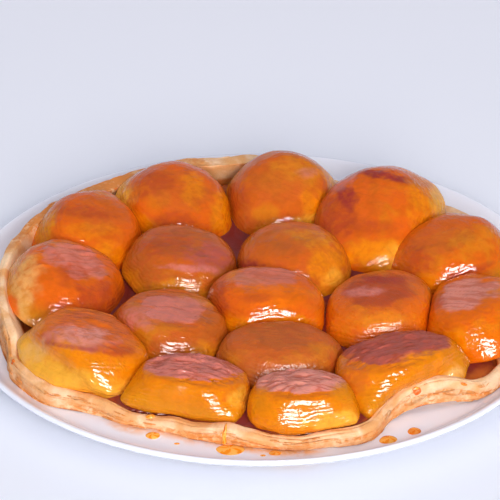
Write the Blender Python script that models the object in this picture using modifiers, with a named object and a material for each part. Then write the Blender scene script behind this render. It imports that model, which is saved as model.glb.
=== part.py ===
"""A tarte tatin turned out on its plate.

Seventeen peeled apple halves lie dome up on a thin bed of caramel, in a case of flaky pastry whose
edge turns up round them. Metres, +Z up. The plate stands on z = 0 with its middle on the origin, and
the tart lies a little to one side of the plate's middle.

Each half is given by its place and size. The halves are pressed flat against each other, and the
wave of the pastry's edge is worked out from how far they reach in each direction.
"""

import math
from dataclasses import dataclass

import bmesh
import bpy
from mathutils import Matrix, Vector

MM = 0.001
GAP = 0.3 * MM  # between two pieces that touch

# Plate
PLATE_RADIUS = 160 * MM
PLATE_FLAT = 146 * MM  # radius of the level floor
PLATE_FLOOR = 7 * MM  # height of the level floor
PLATE_THICK = 4.5 * MM
PLATE_LIP = 3.5 * MM  # thickness of the rounded edge
PLATE_RISE = 8 * MM  # from the floor up to the edge
FOOT_RADIUS = 98 * MM  # outer radius of the foot ring
FOOT_WIDTH = 8 * MM
PLATE_STEPS = 64

# Tart, in its own middle
TART_MIDDLE = Vector((6 * MM, -6.5 * MM, 0.0))
CRUST_THICK = 2.8 * MM
CARAMEL_THICK = 1.2 * MM
CRUST_BOTTOM = PLATE_FLOOR + GAP
CRUST_TOP = CRUST_BOTTOM + CRUST_THICK
CARAMEL_BOTTOM = CRUST_TOP + GAP
CARAMEL_TOP = CARAMEL_BOTTOM + CARAMEL_THICK
APPLE_FLOOR = CARAMEL_TOP + GAP

# Pastry edge
STATIONS = 96  # round the tart
EDGE_WALL = 6.5 * MM  # its thickness where it is low
CLIMB_WALL = 4.5 * MM  # and where it climbs
EDGE_LOW = 8 * MM  # height of its crown over the plate where it is lowest
EDGE_HIGH = 24 * MM  # and where it climbs the apples
CLIMB_BEARING = 145  # middle of the stretch that climbs, in degrees from +X
CLIMB_SPREAD = 42  # degrees to each side at full height
CLIMB_FADE = 30  # degrees over which it comes down again
TUCK_BEARING = -52  # where the edge is tucked up clear of the plate
TUCK_SPREAD = 7
TUCK_FADE = 9
TUCK_RISE = 7 * MM
TURN_UP = 0.88  # share of the way out at which the case starts to turn up
BED_REACH = 0.87  # and where the caramel on it ends
OVERHANG = 2.5 * MM  # how far a half may lean out over the crown
EDGE_SAMPLES = 8  # along each edge of a half, to find how far it reaches
DEEPEST_PINCH = 14 * MM  # how far the edge dips in between two apples
CROWN_WAVE = 1.2 * MM
WAVES = 13
CLOSE_SMOOTHING = 1  # stations to each side over which it follows the halves
TAUT_SMOOTHING = 3  # and over which it is stretched across the gaps between them

# Apple halves
EQUATOR = 5 * MM  # height of a half's widest line over the caramel
PLUMPNESS = 0.74  # under 1 squares the outline of the dome
SAG = 0.11  # share by which the cooked flesh spreads at its foot
SAG_FADE = 4  # how soon the spread is gone above the foot
SOFTNESS = 2.8 * MM  # depth over which a side rounds into the flat where it is pressed
CUTS = 3  # times the planes cut in turn, so that none is left crossed
ICO_LEVEL = 3


@dataclass(frozen=True)
class Half:
    """One apple half: sizes in millimetres, directions in degrees anticlockwise from +X."""

    bearing: float  # direction of its middle from the tart's middle
    reach: float  # distance of its middle from the tart's middle
    length: float
    width: float
    height: float  # of its flattened top over the caramel
    turn: float  # direction of its length
    lean: float  # how far its dome tips towards the tart's middle
    press: float  # share of the dome that the pan left under its flat
    wall: float = 0.0  # distance from the tart's middle at which the pastry presses its outer side
    wall_turn: float = 0.0  # direction of that wall, from the half's bearing


HALVES = (
    Half(bearing=122, reach=101, length=64, width=69, height=26, turn=18, lean=19, press=0.82, wall=137),
    Half(bearing=87, reach=98, length=61, width=71, height=26.5, turn=-8, lean=19, press=0.84, wall=135),
    Half(bearing=50, reach=91, length=71, width=77, height=30.5, turn=152, lean=30, press=0.86, wall=133),
    Half(bearing=18, reach=102, length=65, width=64, height=26, turn=94, lean=17, press=0.84, wall=132),
    Half(bearing=-15, reach=110, length=70, width=57, height=24, turn=95, lean=14, press=0.80, wall=132),
    Half(bearing=-51, reach=100, length=70, width=57, height=22, turn=26, lean=12, press=0.80, wall=121),
    Half(bearing=-82, reach=109, length=53, width=49, height=21, turn=4, lean=10, press=0.80, wall=128),
    Half(bearing=-112, reach=103, length=60, width=54, height=21, turn=-14, lean=12, press=0.78, wall=123),
    Half(bearing=-145, reach=112, length=69, width=62, height=24, turn=-58, lean=15, press=0.78, wall=134.5, wall_turn=7),
    Half(bearing=179, reach=110, length=70, width=60, height=26, turn=60, lean=20, press=0.80, wall=139),
    Half(bearing=151, reach=113, length=70, width=57, height=26, turn=76, lean=17, press=0.82, wall=140),
    Half(bearing=152, reach=54, length=60, width=64, height=23, turn=43, lean=4, press=0.82),
    Half(bearing=70, reach=32, length=60, width=65, height=23, turn=-13, lean=2, press=0.82),
    Half(bearing=-20, reach=61, length=67, width=60, height=21, turn=75, lean=6, press=0.80),
    Half(bearing=-86, reach=64, length=66, width=54, height=19, turn=-3, lean=2, press=0.82),
    Half(bearing=-143, reach=64, length=62, width=63, height=20, turn=-20, lean=7, press=0.74),
    Half(bearing=-100, reach=17, length=66, width=58, height=24, turn=-16, lean=2, press=0.84),
)


def clear_scene():
    for obj in list(bpy.data.objects):
        bpy.data.objects.remove(obj, do_unlink=True)


def make_material(name, colour, roughness, metallic=0.0):
    material = bpy.data.materials.new(name)
    material.use_nodes = True
    shader = material.node_tree.nodes["Principled BSDF"]
    shader.inputs["Base Color"].default_value = (*colour, 1.0)
    shader.inputs["Roughness"].default_value = roughness
    shader.inputs["Metallic"].default_value = metallic
    material.diffuse_color = (*colour, 1.0)
    return material


def make_object(name, bm, material, collection, location=(0.0, 0.0, 0.0)):
    """The bmesh as a smooth-shaded object of its own."""
    mesh = bpy.data.meshes.new(name)
    bm.to_mesh(mesh)
    bm.free()
    mesh.materials.append(material)
    mesh.shade_smooth()
    obj = bpy.data.objects.new(name, mesh)
    obj.location = location
    collection.objects.link(obj)
    return obj


def fade_round(bearing, middle, spread, fade):
    """1 within spread degrees of the middle, falling smoothly to 0 over the next fade degrees."""
    away = abs((bearing - middle + 180) % 360 - 180)
    share = min(max((away - spread) / fade, 0.0), 1.0)
    return 1.0 - share * share * (3.0 - 2.0 * share)


def on_tart(bearing, reach, height=0.0):
    angle = math.radians(bearing)
    return TART_MIDDLE + Vector((reach * math.cos(angle), reach * math.sin(angle), height))


# Apple halves


def half_middle(half):
    return on_tart(half.bearing, half.reach * MM, APPLE_FLOOR + EQUATOR)


def half_span(half, direction):
    """How far the half's foot reaches from its middle in a level direction."""
    turn = math.radians(half.turn)
    along = direction.x * math.cos(turn) + direction.y * math.sin(turn)
    across = direction.y * math.cos(turn) - direction.x * math.sin(turn)
    return math.hypot(half.length / 2 * along, half.width / 2 * across) * MM * (1 + SAG)


def pressed_planes(half):
    """The upright planes, as a point and an outward normal, at which its neighbours press on a half."""
    middle = half_middle(half)
    planes = []
    if half.wall:
        facing = half.bearing + half.wall_turn
        outward = on_tart(facing, 1.0) - TART_MIDDLE
        planes.append((on_tart(facing, half.wall * MM), outward))
    for other in HALVES:
        if other is half:
            continue
        apart = half_middle(other) - middle
        apart.z = 0.0
        normal = apart.normalized()
        overlap = half_span(half, normal) + half_span(other, -normal) - apart.length
        if overlap > -2 * GAP:
            reach = half_span(half, normal) - overlap / 2 - GAP / 2
            planes.append((middle + normal * reach, normal))
    return planes


def build_half(name, half, material, collection):
    """A plump dome with a flat pressed on its top, leaning inwards, cut level where it lies."""
    bm = bmesh.new()
    bmesh.ops.create_icosphere(bm, subdivisions=ICO_LEVEL, radius=1.0)
    rise = half.height * MM - EQUATOR
    inward = -on_tart(half.bearing, 1.0) + TART_MIDDLE
    tip = Matrix.Rotation(math.radians(half.lean), 3, Vector((0, 0, 1)).cross(inward))
    turn = Matrix.Rotation(math.radians(half.turn), 3, "Z")
    middle = half_middle(half)
    for vert in bm.verts:
        level = math.hypot(vert.co.x, vert.co.y)
        spread = level ** PLUMPNESS / level if level > 1e-6 else 1.0
        spread *= 1 + SAG * (1 - max(vert.co.z, 0.0)) ** SAG_FADE
        x = vert.co.x * spread * half.length / 2 * MM
        y = vert.co.y * spread * half.width / 2 * MM
        z = min(vert.co.z, half.press) * (rise / half.press if vert.co.z > 0 else EQUATOR)
        vert.co = tip @ (turn @ Vector((x, y, z))) + middle
    planes = pressed_planes(half)
    for vert in bm.verts:
        for point, normal in planes:
            depth = (vert.co - point).dot(normal) + SOFTNESS
            if depth > 0:
                vert.co -= normal * (depth - SOFTNESS * (1 - math.exp(-depth / SOFTNESS)))
    for _ in range(CUTS):
        for vert in bm.verts:
            for point, normal in planes:
                vert.co -= normal * max((vert.co - point).dot(normal), 0.0)
            vert.co.z = max(vert.co.z, APPLE_FLOOR)
    return make_object(name, bm, material, collection)


# Pastry


def bearing_of(station):
    return station * 360 / STATIONS


def reach_by_station(halves):
    """How far the halves reach from the tart's middle at each station, as the pastry follows them.

    A half may lean out over the crown of the pastry, but only by OVERHANG.
    """
    reaches = [0.0] * STATIONS
    ceilings = [PLATE_FLOOR + crown_height(bearing_of(station)) + MM for station in range(STATIONS)]
    for obj in halves:
        points = [vert.co - TART_MIDDLE for vert in obj.data.vertices]
        for edge in obj.data.edges:
            start, end = (points[index] for index in edge.vertices)
            for step in range(EDGE_SAMPLES + 1):
                point = start.lerp(end, step / EDGE_SAMPLES)
                place = math.atan2(point.y, point.x) / math.tau * STATIONS
                for station in (math.floor(place) % STATIONS, math.ceil(place) % STATIONS):
                    held = 0.0 if point.z <= ceilings[station] else OVERHANG
                    reaches[station] = max(reaches[station], point.xy.length - held)
    return reaches


def smoothed_over(reaches, smoothing):
    """The reaches made a smooth line that never comes inside any of them."""
    around = range(-smoothing, smoothing + 1)
    widest = [max(reaches[(k + j) % STATIONS] for j in around) for k in range(STATIONS)]
    return [sum(widest[(k + j) % STATIONS] for j in around) / len(around) for k in range(STATIONS)]


def edge_line(halves):
    """The radius of the pastry edge's inner face at each station."""
    reaches = reach_by_station(halves)
    taut = smoothed_over(reaches, TAUT_SMOOTHING)
    close = smoothed_over(reaches, CLOSE_SMOOTHING)
    return [max(near, far - DEEPEST_PINCH) + GAP for near, far in zip(close, taut)]


def climb(bearing):
    return fade_round(bearing, CLIMB_BEARING, CLIMB_SPREAD, CLIMB_FADE)


def crown_height(bearing):
    wave = CROWN_WAVE * math.sin(math.radians(WAVES * bearing))
    return EDGE_LOW + (EDGE_HIGH - EDGE_LOW) * climb(bearing) + tuck(bearing) + wave


def tuck(bearing):
    return TUCK_RISE * fade_round(bearing, TUCK_BEARING, TUCK_SPREAD, TUCK_FADE)


def pastry_section(inner, bearing):
    """The case's section at one station, from the middle of its floor out over the edge and underneath."""
    crown = PLATE_FLOOR + crown_height(bearing)
    lift = tuck(bearing)
    outer = inner + EDGE_WALL + (CLIMB_WALL - EDGE_WALL) * climb(bearing)
    return (
        (0.0, CRUST_TOP),
        (inner * TURN_UP, CRUST_TOP),
        (inner, CRUST_TOP + lift),
        (inner, crown - 2 * MM),
        (inner + 1.2 * MM, crown - 0.4 * MM),
        (outer - 1.5 * MM, crown),
        (outer + 0.5 * MM, crown - 3 * MM),
        (outer, CRUST_BOTTOM + lift + 2 * MM),
        (outer - 2 * MM, CRUST_BOTTOM + lift),
        (inner * TURN_UP, CRUST_BOTTOM),
        (0.0, CRUST_BOTTOM),
    )


def body_of_sections(sections):
    """A closed body from one section at each station, made by moving the rings of a sphere onto them."""
    rings = len(sections[0]) - 1
    bm = bmesh.new()
    bmesh.ops.create_uvsphere(bm, u_segments=STATIONS, v_segments=rings, radius=1.0)
    for vert in bm.verts:
        ring = round(math.acos(min(max(vert.co.z, -1.0), 1.0)) / math.pi * rings)
        station = round(math.atan2(vert.co.y, vert.co.x) / math.tau * STATIONS) % STATIONS
        radius, height = sections[station][ring]
        angle = station / STATIONS * math.tau
        vert.co = (radius * math.cos(angle), radius * math.sin(angle), height)
    return bm


def build_pastry(inner_line, material, collection):
    sections = [pastry_section(inner, bearing_of(station)) for station, inner in enumerate(inner_line)]
    return make_object("pastry_case", body_of_sections(sections), material, collection, TART_MIDDLE)


# Caramel


def build_caramel(inner_line, material, collection):
    """The bed of caramel, level, out to where the pastry starts to turn up."""
    sections = [
        (
            (0.0, CARAMEL_TOP),
            (inner * BED_REACH, CARAMEL_TOP),
            (inner * BED_REACH, CARAMEL_BOTTOM),
            (0.0, CARAMEL_BOTTOM),
        )
        for inner in inner_line
    ]
    return make_object("caramel_bed", body_of_sections(sections), material, collection, TART_MIDDLE)


# Plate


def plate_profile():
    """Half the plate's section, from the middle of its top out over the edge and back underneath."""
    edge_top = PLATE_FLOOR + PLATE_RISE
    under = PLATE_FLOOR - PLATE_THICK
    foot_inner = FOOT_RADIUS - FOOT_WIDTH
    return (
        (0.0, PLATE_FLOOR),
        (PLATE_FLAT, PLATE_FLOOR),
        (PLATE_FLAT + 4 * MM, PLATE_FLOOR + 1.2 * MM),
        (PLATE_RADIUS - 4.5 * MM, edge_top - 1.6 * MM),
        (PLATE_RADIUS - 2 * MM, edge_top),
        (PLATE_RADIUS - 0.5 * MM, edge_top - 0.5 * MM),
        (PLATE_RADIUS, edge_top - 1.8 * MM),
        (PLATE_RADIUS - 0.8 * MM, edge_top - PLATE_LIP),
        (PLATE_FLAT + 4 * MM, PLATE_FLOOR - 2.5 * MM),
        (FOOT_RADIUS + 2 * MM, under),
        (FOOT_RADIUS, 0.0),
        (foot_inner, 0.0),
        (foot_inner - 2 * MM, under),
        (0.0, under),
    )


def build_plate(material, collection):
    mesh = bpy.data.meshes.new("plate")
    points = [(radius, 0.0, height) for radius, height in plate_profile()]
    mesh.from_pydata(points, [(i, i + 1) for i in range(len(points) - 1)], [])
    mesh.materials.append(material)
    plate = bpy.data.objects.new("plate", mesh)
    collection.objects.link(plate)
    screw = plate.modifiers.new("turned", "SCREW")
    screw.steps = PLATE_STEPS
    screw.render_steps = PLATE_STEPS
    screw.use_merge_vertices = True
    screw.merge_threshold = 0.01 * MM
    return plate


def main():
    clear_scene()
    collection = bpy.data.collections.new("tarte_tatin")
    bpy.context.scene.collection.children.link(collection)
    porcelain = make_material("white_glaze", (0.83, 0.82, 0.84), 0.12)
    pastry = make_material("baked_pastry", (0.78, 0.50, 0.25), 0.6)
    caramel = make_material("caramel", (0.22, 0.05, 0.01), 0.08)
    apple = make_material("caramelised_apple", (0.76, 0.30, 0.02), 0.25)

    build_plate(porcelain, collection)
    halves = [
        build_half(f"apple_half_{number:02d}", half, apple, collection)
        for number, half in enumerate(HALVES, start=1)
    ]
    inner_line = edge_line(halves)
    build_pastry(inner_line, pastry, collection)
    build_caramel(inner_line, caramel, collection)


if __name__ == "__main__":
    main()
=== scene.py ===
"""The looks of a tarte tatin turned out on its plate.

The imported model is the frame: it gives the place and size of the plate, the pastry case, the caramel bed
and every apple half. Each of them is replaced here by a finer piece of the same size, and the syrup that
ran over the pastry, the drops on the plate and the loose flakes of pastry are added. Metres, +Z up.
"""

from __future__ import annotations

import logging
import math
import random
from dataclasses import dataclass, field
from enum import Enum

import bmesh
import bpy
import numpy as np
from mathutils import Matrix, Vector, noise
from mathutils.bvhtree import BVHTree

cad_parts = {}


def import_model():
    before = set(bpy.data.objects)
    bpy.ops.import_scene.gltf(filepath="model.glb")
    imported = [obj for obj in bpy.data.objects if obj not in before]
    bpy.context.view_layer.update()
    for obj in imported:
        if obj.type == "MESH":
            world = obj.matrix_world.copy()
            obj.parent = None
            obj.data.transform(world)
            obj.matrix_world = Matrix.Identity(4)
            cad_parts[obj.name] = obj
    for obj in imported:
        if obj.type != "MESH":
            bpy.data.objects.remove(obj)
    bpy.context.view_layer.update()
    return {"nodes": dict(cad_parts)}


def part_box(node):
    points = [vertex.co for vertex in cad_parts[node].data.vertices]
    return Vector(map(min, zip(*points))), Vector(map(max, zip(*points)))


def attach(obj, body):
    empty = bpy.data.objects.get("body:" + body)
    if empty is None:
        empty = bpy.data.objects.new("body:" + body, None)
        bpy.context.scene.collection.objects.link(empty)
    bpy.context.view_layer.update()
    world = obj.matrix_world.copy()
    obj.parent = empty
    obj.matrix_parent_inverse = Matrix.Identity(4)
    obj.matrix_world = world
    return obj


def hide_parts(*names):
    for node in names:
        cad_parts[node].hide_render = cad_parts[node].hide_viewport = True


MM = 0.001
BODY = "root"
TART_MIDDLE = Vector((6 * MM, -6.5 * MM, 0.0))
VIEW_RISE = math.radians(31)  # how steeply the front view looks down
LOG = logging.getLogger("tarte_tatin")

Colour = tuple[float, float, float, float]


# Numbers and colours


def srgb(red: float, green: float, blue: float) -> Colour:
    """Turn a screen colour into the linear colour that shaders use.

    Args:
        red: Red, 0 to 255.
        green: Green, 0 to 255.
        blue: Blue, 0 to 255.

    Returns:
        The linear colour with an alpha of 1.
    """
    shares = (level / 255 for level in (red, green, blue))
    linear = (s / 12.92 if s <= 0.04045 else ((s + 0.055) / 1.055) ** 2.4 for s in shares)
    return (*linear, 1.0)


def smoothstep(value: np.ndarray | float, low: float, high: float) -> np.ndarray | float:
    """Go smoothly from 0 at low to 1 at high; low may be the larger of the two.

    Args:
        value: One number or an array.
        low: Where the result is 0.
        high: Where the result is 1.

    Returns:
        The share, of the same shape as value.
    """
    share = np.clip((value - low) / (high - low), 0.0, 1.0)
    return share * share * (3.0 - 2.0 * share)


def noise_at(points: np.ndarray, size: float, seed: float = 0.0, octaves: int = 2) -> np.ndarray:
    """Sample smooth noise at many points.

    Args:
        points: Places, one row each, in metres.
        size: The width of the noise's blobs, in metres.
        seed: Moves the sample elsewhere in the noise.
        octaves: How many finer layers are summed.

    Returns:
        One value a point, mostly between -1 and 1.
    """
    shift = Vector((seed * 7.3, seed * 3.1, seed * 5.7))
    places = (Vector(row) / size + shift for row in points)
    return np.array([noise.fractal(place, 1.0, 2.0, octaves) for place in places])


class Tone(Enum):
    """The colours that apples, caramel and pastry take as they cook, as screen colours; the three pinkish
    ones also carry a painted sheen.
    """

    TOFFEE = (184, 91, 26)
    RUST = (182, 70, 28)
    WINE = (156, 50, 42)
    COPPER = (206, 98, 26)
    ORANGE = (220, 98, 12)
    TANGERINE = (228, 108, 2)
    HONEY = (216, 134, 16)
    AMBER = (226, 128, 4)
    LEMON = (238, 168, 52)
    STRAW = (228, 170, 96)
    # The next three mix the pan-browned flat's own colour with a painted pinkish sheen of the pale room.
    MAUVE_SHEEN = (212, 120, 104)
    BLUSH_SHEEN = (222, 140, 122)
    PLUM_SHEEN = (178, 84, 68)

    @property
    def linear(self) -> Colour:
        """The tone as a linear colour."""
        return srgb(*self.value)


# Shader graphs


class Signal:
    """A number that varies over a surface; Python's operators on it add Math nodes."""

    def __init__(self, graph: Graph, socket: bpy.types.NodeSocket) -> None:
        """Wrap one output socket of a graph."""
        self.graph = graph
        self.socket = socket

    def _join(self, operation: str, first: Signal | float, second: Signal | float) -> Signal:
        """Add a Math node that joins two numbers."""
        made = self.graph.node("ShaderNodeMath", {"operation": operation}, {0: first, 1: second})
        return Signal(self.graph, made.outputs[0])

    def __add__(self, other: Signal | float) -> Signal:
        """Add two numbers."""
        return self._join("ADD", self, other)

    __radd__ = __add__

    def __sub__(self, other: Signal | float) -> Signal:
        """Take other from this number."""
        return self._join("SUBTRACT", self, other)

    def __rsub__(self, other: Signal | float) -> Signal:
        """Take this number from other."""
        return self._join("SUBTRACT", other, self)

    def __mul__(self, other: Signal | float) -> Signal:
        """Multiply two numbers."""
        return self._join("MULTIPLY", self, other)

    __rmul__ = __mul__

    def sine(self) -> Signal:
        """The sine of this number."""
        return self._join("SINE", self, 0.0)

    def between(self, low: float, high: float, start: float = 0.0, end: float = 1.0) -> Signal:
        """Go smoothly from start to end as the number goes from low to high.

        Args:
            low: Where the result is start.
            high: Where the result is end.
            start: The first result.
            end: The last result.

        Returns:
            The new number.
        """
        made = self.graph.node(
            "ShaderNodeMapRange",
            {"interpolation_type": "SMOOTHSTEP"},
            {"Value": self, "From Min": low, "From Max": high, "To Min": start, "To Max": end},
        )
        return Signal(self.graph, made.outputs["Result"])


class Graph:
    """The node tree of one material, with its Principled BSDF."""

    def __init__(self, name: str) -> None:
        """Start a material with a bare Principled BSDF.

        Args:
            name: The material's name.
        """
        self.material = bpy.data.materials.new(name)
        self.material.use_nodes = True
        self.tree = self.material.node_tree
        self.shader = self.tree.nodes["Principled BSDF"]

    def node(self, kind: str, settings: dict | None = None, sockets: dict | None = None) -> bpy.types.Node:
        """Add a node.

        Args:
            kind: The node's type name.
            settings: Properties to set first.
            sockets: Values or links for its inputs, by name or number.

        Returns:
            The new node.
        """
        made = self.tree.nodes.new(kind)
        for name, value in (settings or {}).items():
            setattr(made, name, value)
        for key, value in (sockets or {}).items():
            self.feed(made.inputs[key], value)
        return made

    def feed(self, socket: bpy.types.NodeSocket, value: object) -> None:
        """Link a socket to a signal or another socket, or set it to a constant.

        Args:
            socket: The input socket.
            value: A signal, an output socket, a number, a vector or a colour.
        """
        if isinstance(value, Signal):
            value = value.socket
        if isinstance(value, bpy.types.NodeSocket):
            self.tree.links.new(value, socket)
        elif socket.type == "VECTOR":
            socket.default_value = value[:3]
        else:
            socket.default_value = value

    def set(self, **sockets: object) -> None:
        """Feed the Principled BSDF; an underscore in a name stands for a space."""
        for name, value in sockets.items():
            self.feed(self.shader.inputs[name.replace("_", " ").title().replace("Ior", "IOR")], value)

    def place(self) -> bpy.types.NodeSocket:
        """The object's own coordinates."""
        return self.node("ShaderNodeTexCoord").outputs["Object"]

    def part_of(self, vector: bpy.types.NodeSocket, axis: str) -> Signal:
        """One axis, "X", "Y" or "Z", of a vector."""
        return Signal(self, self.node("ShaderNodeSeparateXYZ", None, {0: vector}).outputs[axis])

    def attribute(self, name: str) -> bpy.types.Node:
        """Add a node that reads a mesh attribute."""
        return self.node("ShaderNodeAttribute", {"attribute_name": name})

    def number(self, name: str) -> Signal:
        """A mesh attribute that holds one number."""
        return Signal(self, self.attribute(name).outputs["Fac"])

    def noise(
        self, where: bpy.types.NodeSocket, size: float, detail: float = 2.0, distortion: float = 0.0
    ) -> Signal:
        """Smooth noise between 0 and 1, mostly near 0.5.

        Args:
            where: The coordinates.
            size: The width of its blobs, in the coordinates' unit.
            detail: How many finer layers are added.
            distortion: How much it swirls.

        Returns:
            The noise.
        """
        sockets = {"Vector": where, "Scale": 1 / size, "Detail": detail, "Distortion": distortion}
        return Signal(self, self.node("ShaderNodeTexNoise", None, sockets).outputs["Fac"])

    def mix(self, share: Signal | float, first: object, second: object) -> bpy.types.NodeSocket:
        """Blend two colours.

        Args:
            share: 0 for the first colour, 1 for the second.
            first: A colour or a colour socket.
            second: A colour or a colour socket.

        Returns:
            The blended colour's socket.
        """
        return self.node("ShaderNodeMix", {"data_type": "RGBA"}, {0: share, 6: first, 7: second}).outputs[2]

    def shade(self, colour: object, amount: Signal) -> bpy.types.NodeSocket:
        """Brighten or darken a colour by a signal around 1."""
        return self.node("ShaderNodeVectorMath", {"operation": "SCALE"}, {0: colour, 3: amount}).outputs[0]

    def bump(self, height: Signal, depth: float) -> None:
        """Roughen the surface.

        Args:
            height: The relief, from 0 to 1.
            depth: How deep 0 to 1 is, in metres.
        """
        made = self.node("ShaderNodeBump", None, {"Height": height, "Distance": depth, "Strength": 1.0})
        self.set(normal=made.outputs[0])


# Finishes


@dataclass(frozen=True)
class Porcelain:
    """White glazed porcelain."""

    white: Colour = srgb(239, 242, 252)
    seep: Colour = srgb(244, 176, 96)
    roughness: float = 0.1

    def build(self) -> bpy.types.Material:
        """Make the material; it reads the attribute "seep", where syrup tints the glaze."""
        graph = Graph("white_glaze")
        cloud = graph.noise(graph.place(), 60 * MM)
        glaze = graph.shade(self.white, cloud.between(0.2, 0.8, 0.98, 1.02))
        smear = graph.noise(graph.place(), 5 * MM, 3.0)
        tint = (graph.number("seep") * smear.between(0.3, 0.6, 0.6, 1.0)).between(0.1, 0.9)
        graph.set(base_color=graph.mix(tint, glaze, self.seep))
        graph.set(roughness=smear.between(0.2, 0.8, self.roughness, self.roughness + 0.05))
        graph.set(ior=1.5)
        graph.bump(graph.noise(graph.place(), 9 * MM), 0.03 * MM)
        return graph.material


@dataclass(frozen=True)
class BakedPastry:
    """Thin flaky pastry, pale where it is thick and orange where the caramel soaked in; its creases and foot
    line are darkened, partly as browned edges and partly as painted shade.
    """

    peach: Colour = srgb(230, 166, 104)
    cream: Colour = srgb(247, 209, 168)
    golden: Colour = srgb(222, 136, 64)
    # a brown for the creases and the foot line, partly browned pastry and partly painted shade
    browned_and_shade: Colour = srgb(176, 92, 42)
    soaked: Colour = srgb(232, 128, 44)

    def build(self) -> bpy.types.Material:
        """Make the material; it reads the attributes "soak", "bake" and one for the painted shade in the
        creases and along the foot.
        """
        graph = Graph("baked_pastry")
        where = graph.place()
        patches = graph.noise(where, 16 * MM, 3.0, 0.6)
        mottle = graph.noise(where, 3 * MM, 4.0, 0.8)
        colour = graph.mix(patches.between(0.38, 0.66), self.peach, self.cream)
        baked = graph.number("bake") * mottle.between(0.3, 0.65, 0.35, 1.0)
        colour = graph.mix(baked.between(0.15, 0.9), colour, self.golden)
        soaked = (graph.number("soak") + (patches - 0.5) * 0.9 + (mottle - 0.5) * 0.5).between(0.35, 0.85)
        colour = graph.mix(soaked * 0.9, colour, self.soaked)
        # painted shade: the layers' creases and the outer foot line are darkened towards the brown, which
        # also stands for browned edges
        crease = (graph.number("crease") + (mottle - 0.5) * 0.5).between(0.45, 0.95)
        colour = graph.mix(crease * 0.75, colour, self.browned_and_shade)
        grain = graph.noise(where, 1.1 * MM, 3.0)
        graph.set(base_color=graph.shade(colour, grain.between(0.2, 0.8, 0.93, 1.05)))
        graph.set(roughness=soaked.between(0.2, 0.9, 0.52, 0.3), specular_ior_level=0.15)
        graph.set(subsurface_weight=0.12, subsurface_radius=(1.0, 0.5, 0.25), subsurface_scale=3 * MM)
        graph.bump(grain * 0.5 + mottle * 0.5, 0.35 * MM)
        return graph.material


@dataclass(frozen=True)
class DarkCaramel:
    """Caramel set between the halves: nearly black-red where deep, brown-orange over the pastry."""

    deep: Colour = srgb(124, 41, 35)
    thin: Colour = srgb(190, 98, 40)

    def build(self) -> bpy.types.Material:
        """Make the material; it reads the attribute "thin", where pastry lies close below."""
        graph = Graph("dark_caramel")
        cloud = graph.noise(graph.place(), 6 * MM, 3.0, 0.5)
        thin = (graph.number("thin") + (cloud - 0.5) * 0.7).between(0.2, 0.9)
        graph.set(base_color=graph.mix(thin, self.deep, self.thin), roughness=0.28, ior=1.4)
        graph.bump(graph.noise(graph.place(), 2.2 * MM, 2.0), 0.12 * MM)
        return graph.material


@dataclass(frozen=True)
class RunnySyrup:
    """Orange syrup in drops and runs, paler at its thin edge."""

    body: Colour = srgb(250, 144, 20)
    edge: Colour = srgb(255, 184, 84)
    red: Colour = srgb(222, 78, 18)

    def build(self) -> bpy.types.Material:
        """Make the material; it reads the attributes "thick" and "red"."""
        graph = Graph("runny_syrup")
        thick = graph.number("thick").between(0.1, 0.8)
        colour = graph.mix(thick, self.edge, self.body)
        colour = graph.mix(graph.number("red"), colour, self.red)
        graph.set(base_color=colour, roughness=0.2, ior=1.4, specular_ior_level=0.3)
        return graph.material


@dataclass(frozen=True)
class PaleFloor:
    """A pale, faintly lilac table top with painted light: lighter and whiter towards the back."""

    near: Colour = srgb(239, 242, 250)
    far: Colour = srgb(250, 250, 255)

    def build(self) -> bpy.types.Material:
        """Make the material."""
        graph = Graph("pale_floor")
        # painted light: the floor's colour goes from the darker near tone at the front to the lighter far
        # tone at the back
        back = graph.part_of(graph.place(), "Y").between(-0.3, 0.9)
        graph.set(base_color=graph.mix(back, self.near, self.far), roughness=0.8, specular_ior_level=0.0)
        return graph.material


@dataclass(frozen=True)
class Spot:
    """A spot of another colour on a half.

    Its place is told as the half is seen from the front and above, in shares of the half's own width and
    height there: (-1, -1) is the left and lower end, (1, 1) the right and upper end.
    """

    tone: Tone
    right: float  # place of its middle
    up: float
    wide: float  # half its size
    high: float
    amount: float  # how far it covers what is under it
    slant: float = 0.0  # degrees anticlockwise


@dataclass(frozen=True)
class HalfLook:
    """How one apple half came out of the pan."""

    top: Tone  # the flat that lay on the pan; a pinkish tone here carries a painted sheen
    face: Tone  # the flanks
    foot: Tone  # their lower part
    wrinkle: float = 0.3  # depth of the flat's wrinkles, in mm
    pitch: float = 4.0  # their spacing, in mm
    crisp: float = 0.0  # 1 for a flat with a sharp edge
    dome: float = 0.0  # how far the flat swells in its middle, in mm
    dull: float = 0.0  # 1 for a half with hardly any gloss
    sag: float = 0.0  # how far the foot slumps towards the front, in mm
    spots: tuple[Spot, ...] = ()


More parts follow.
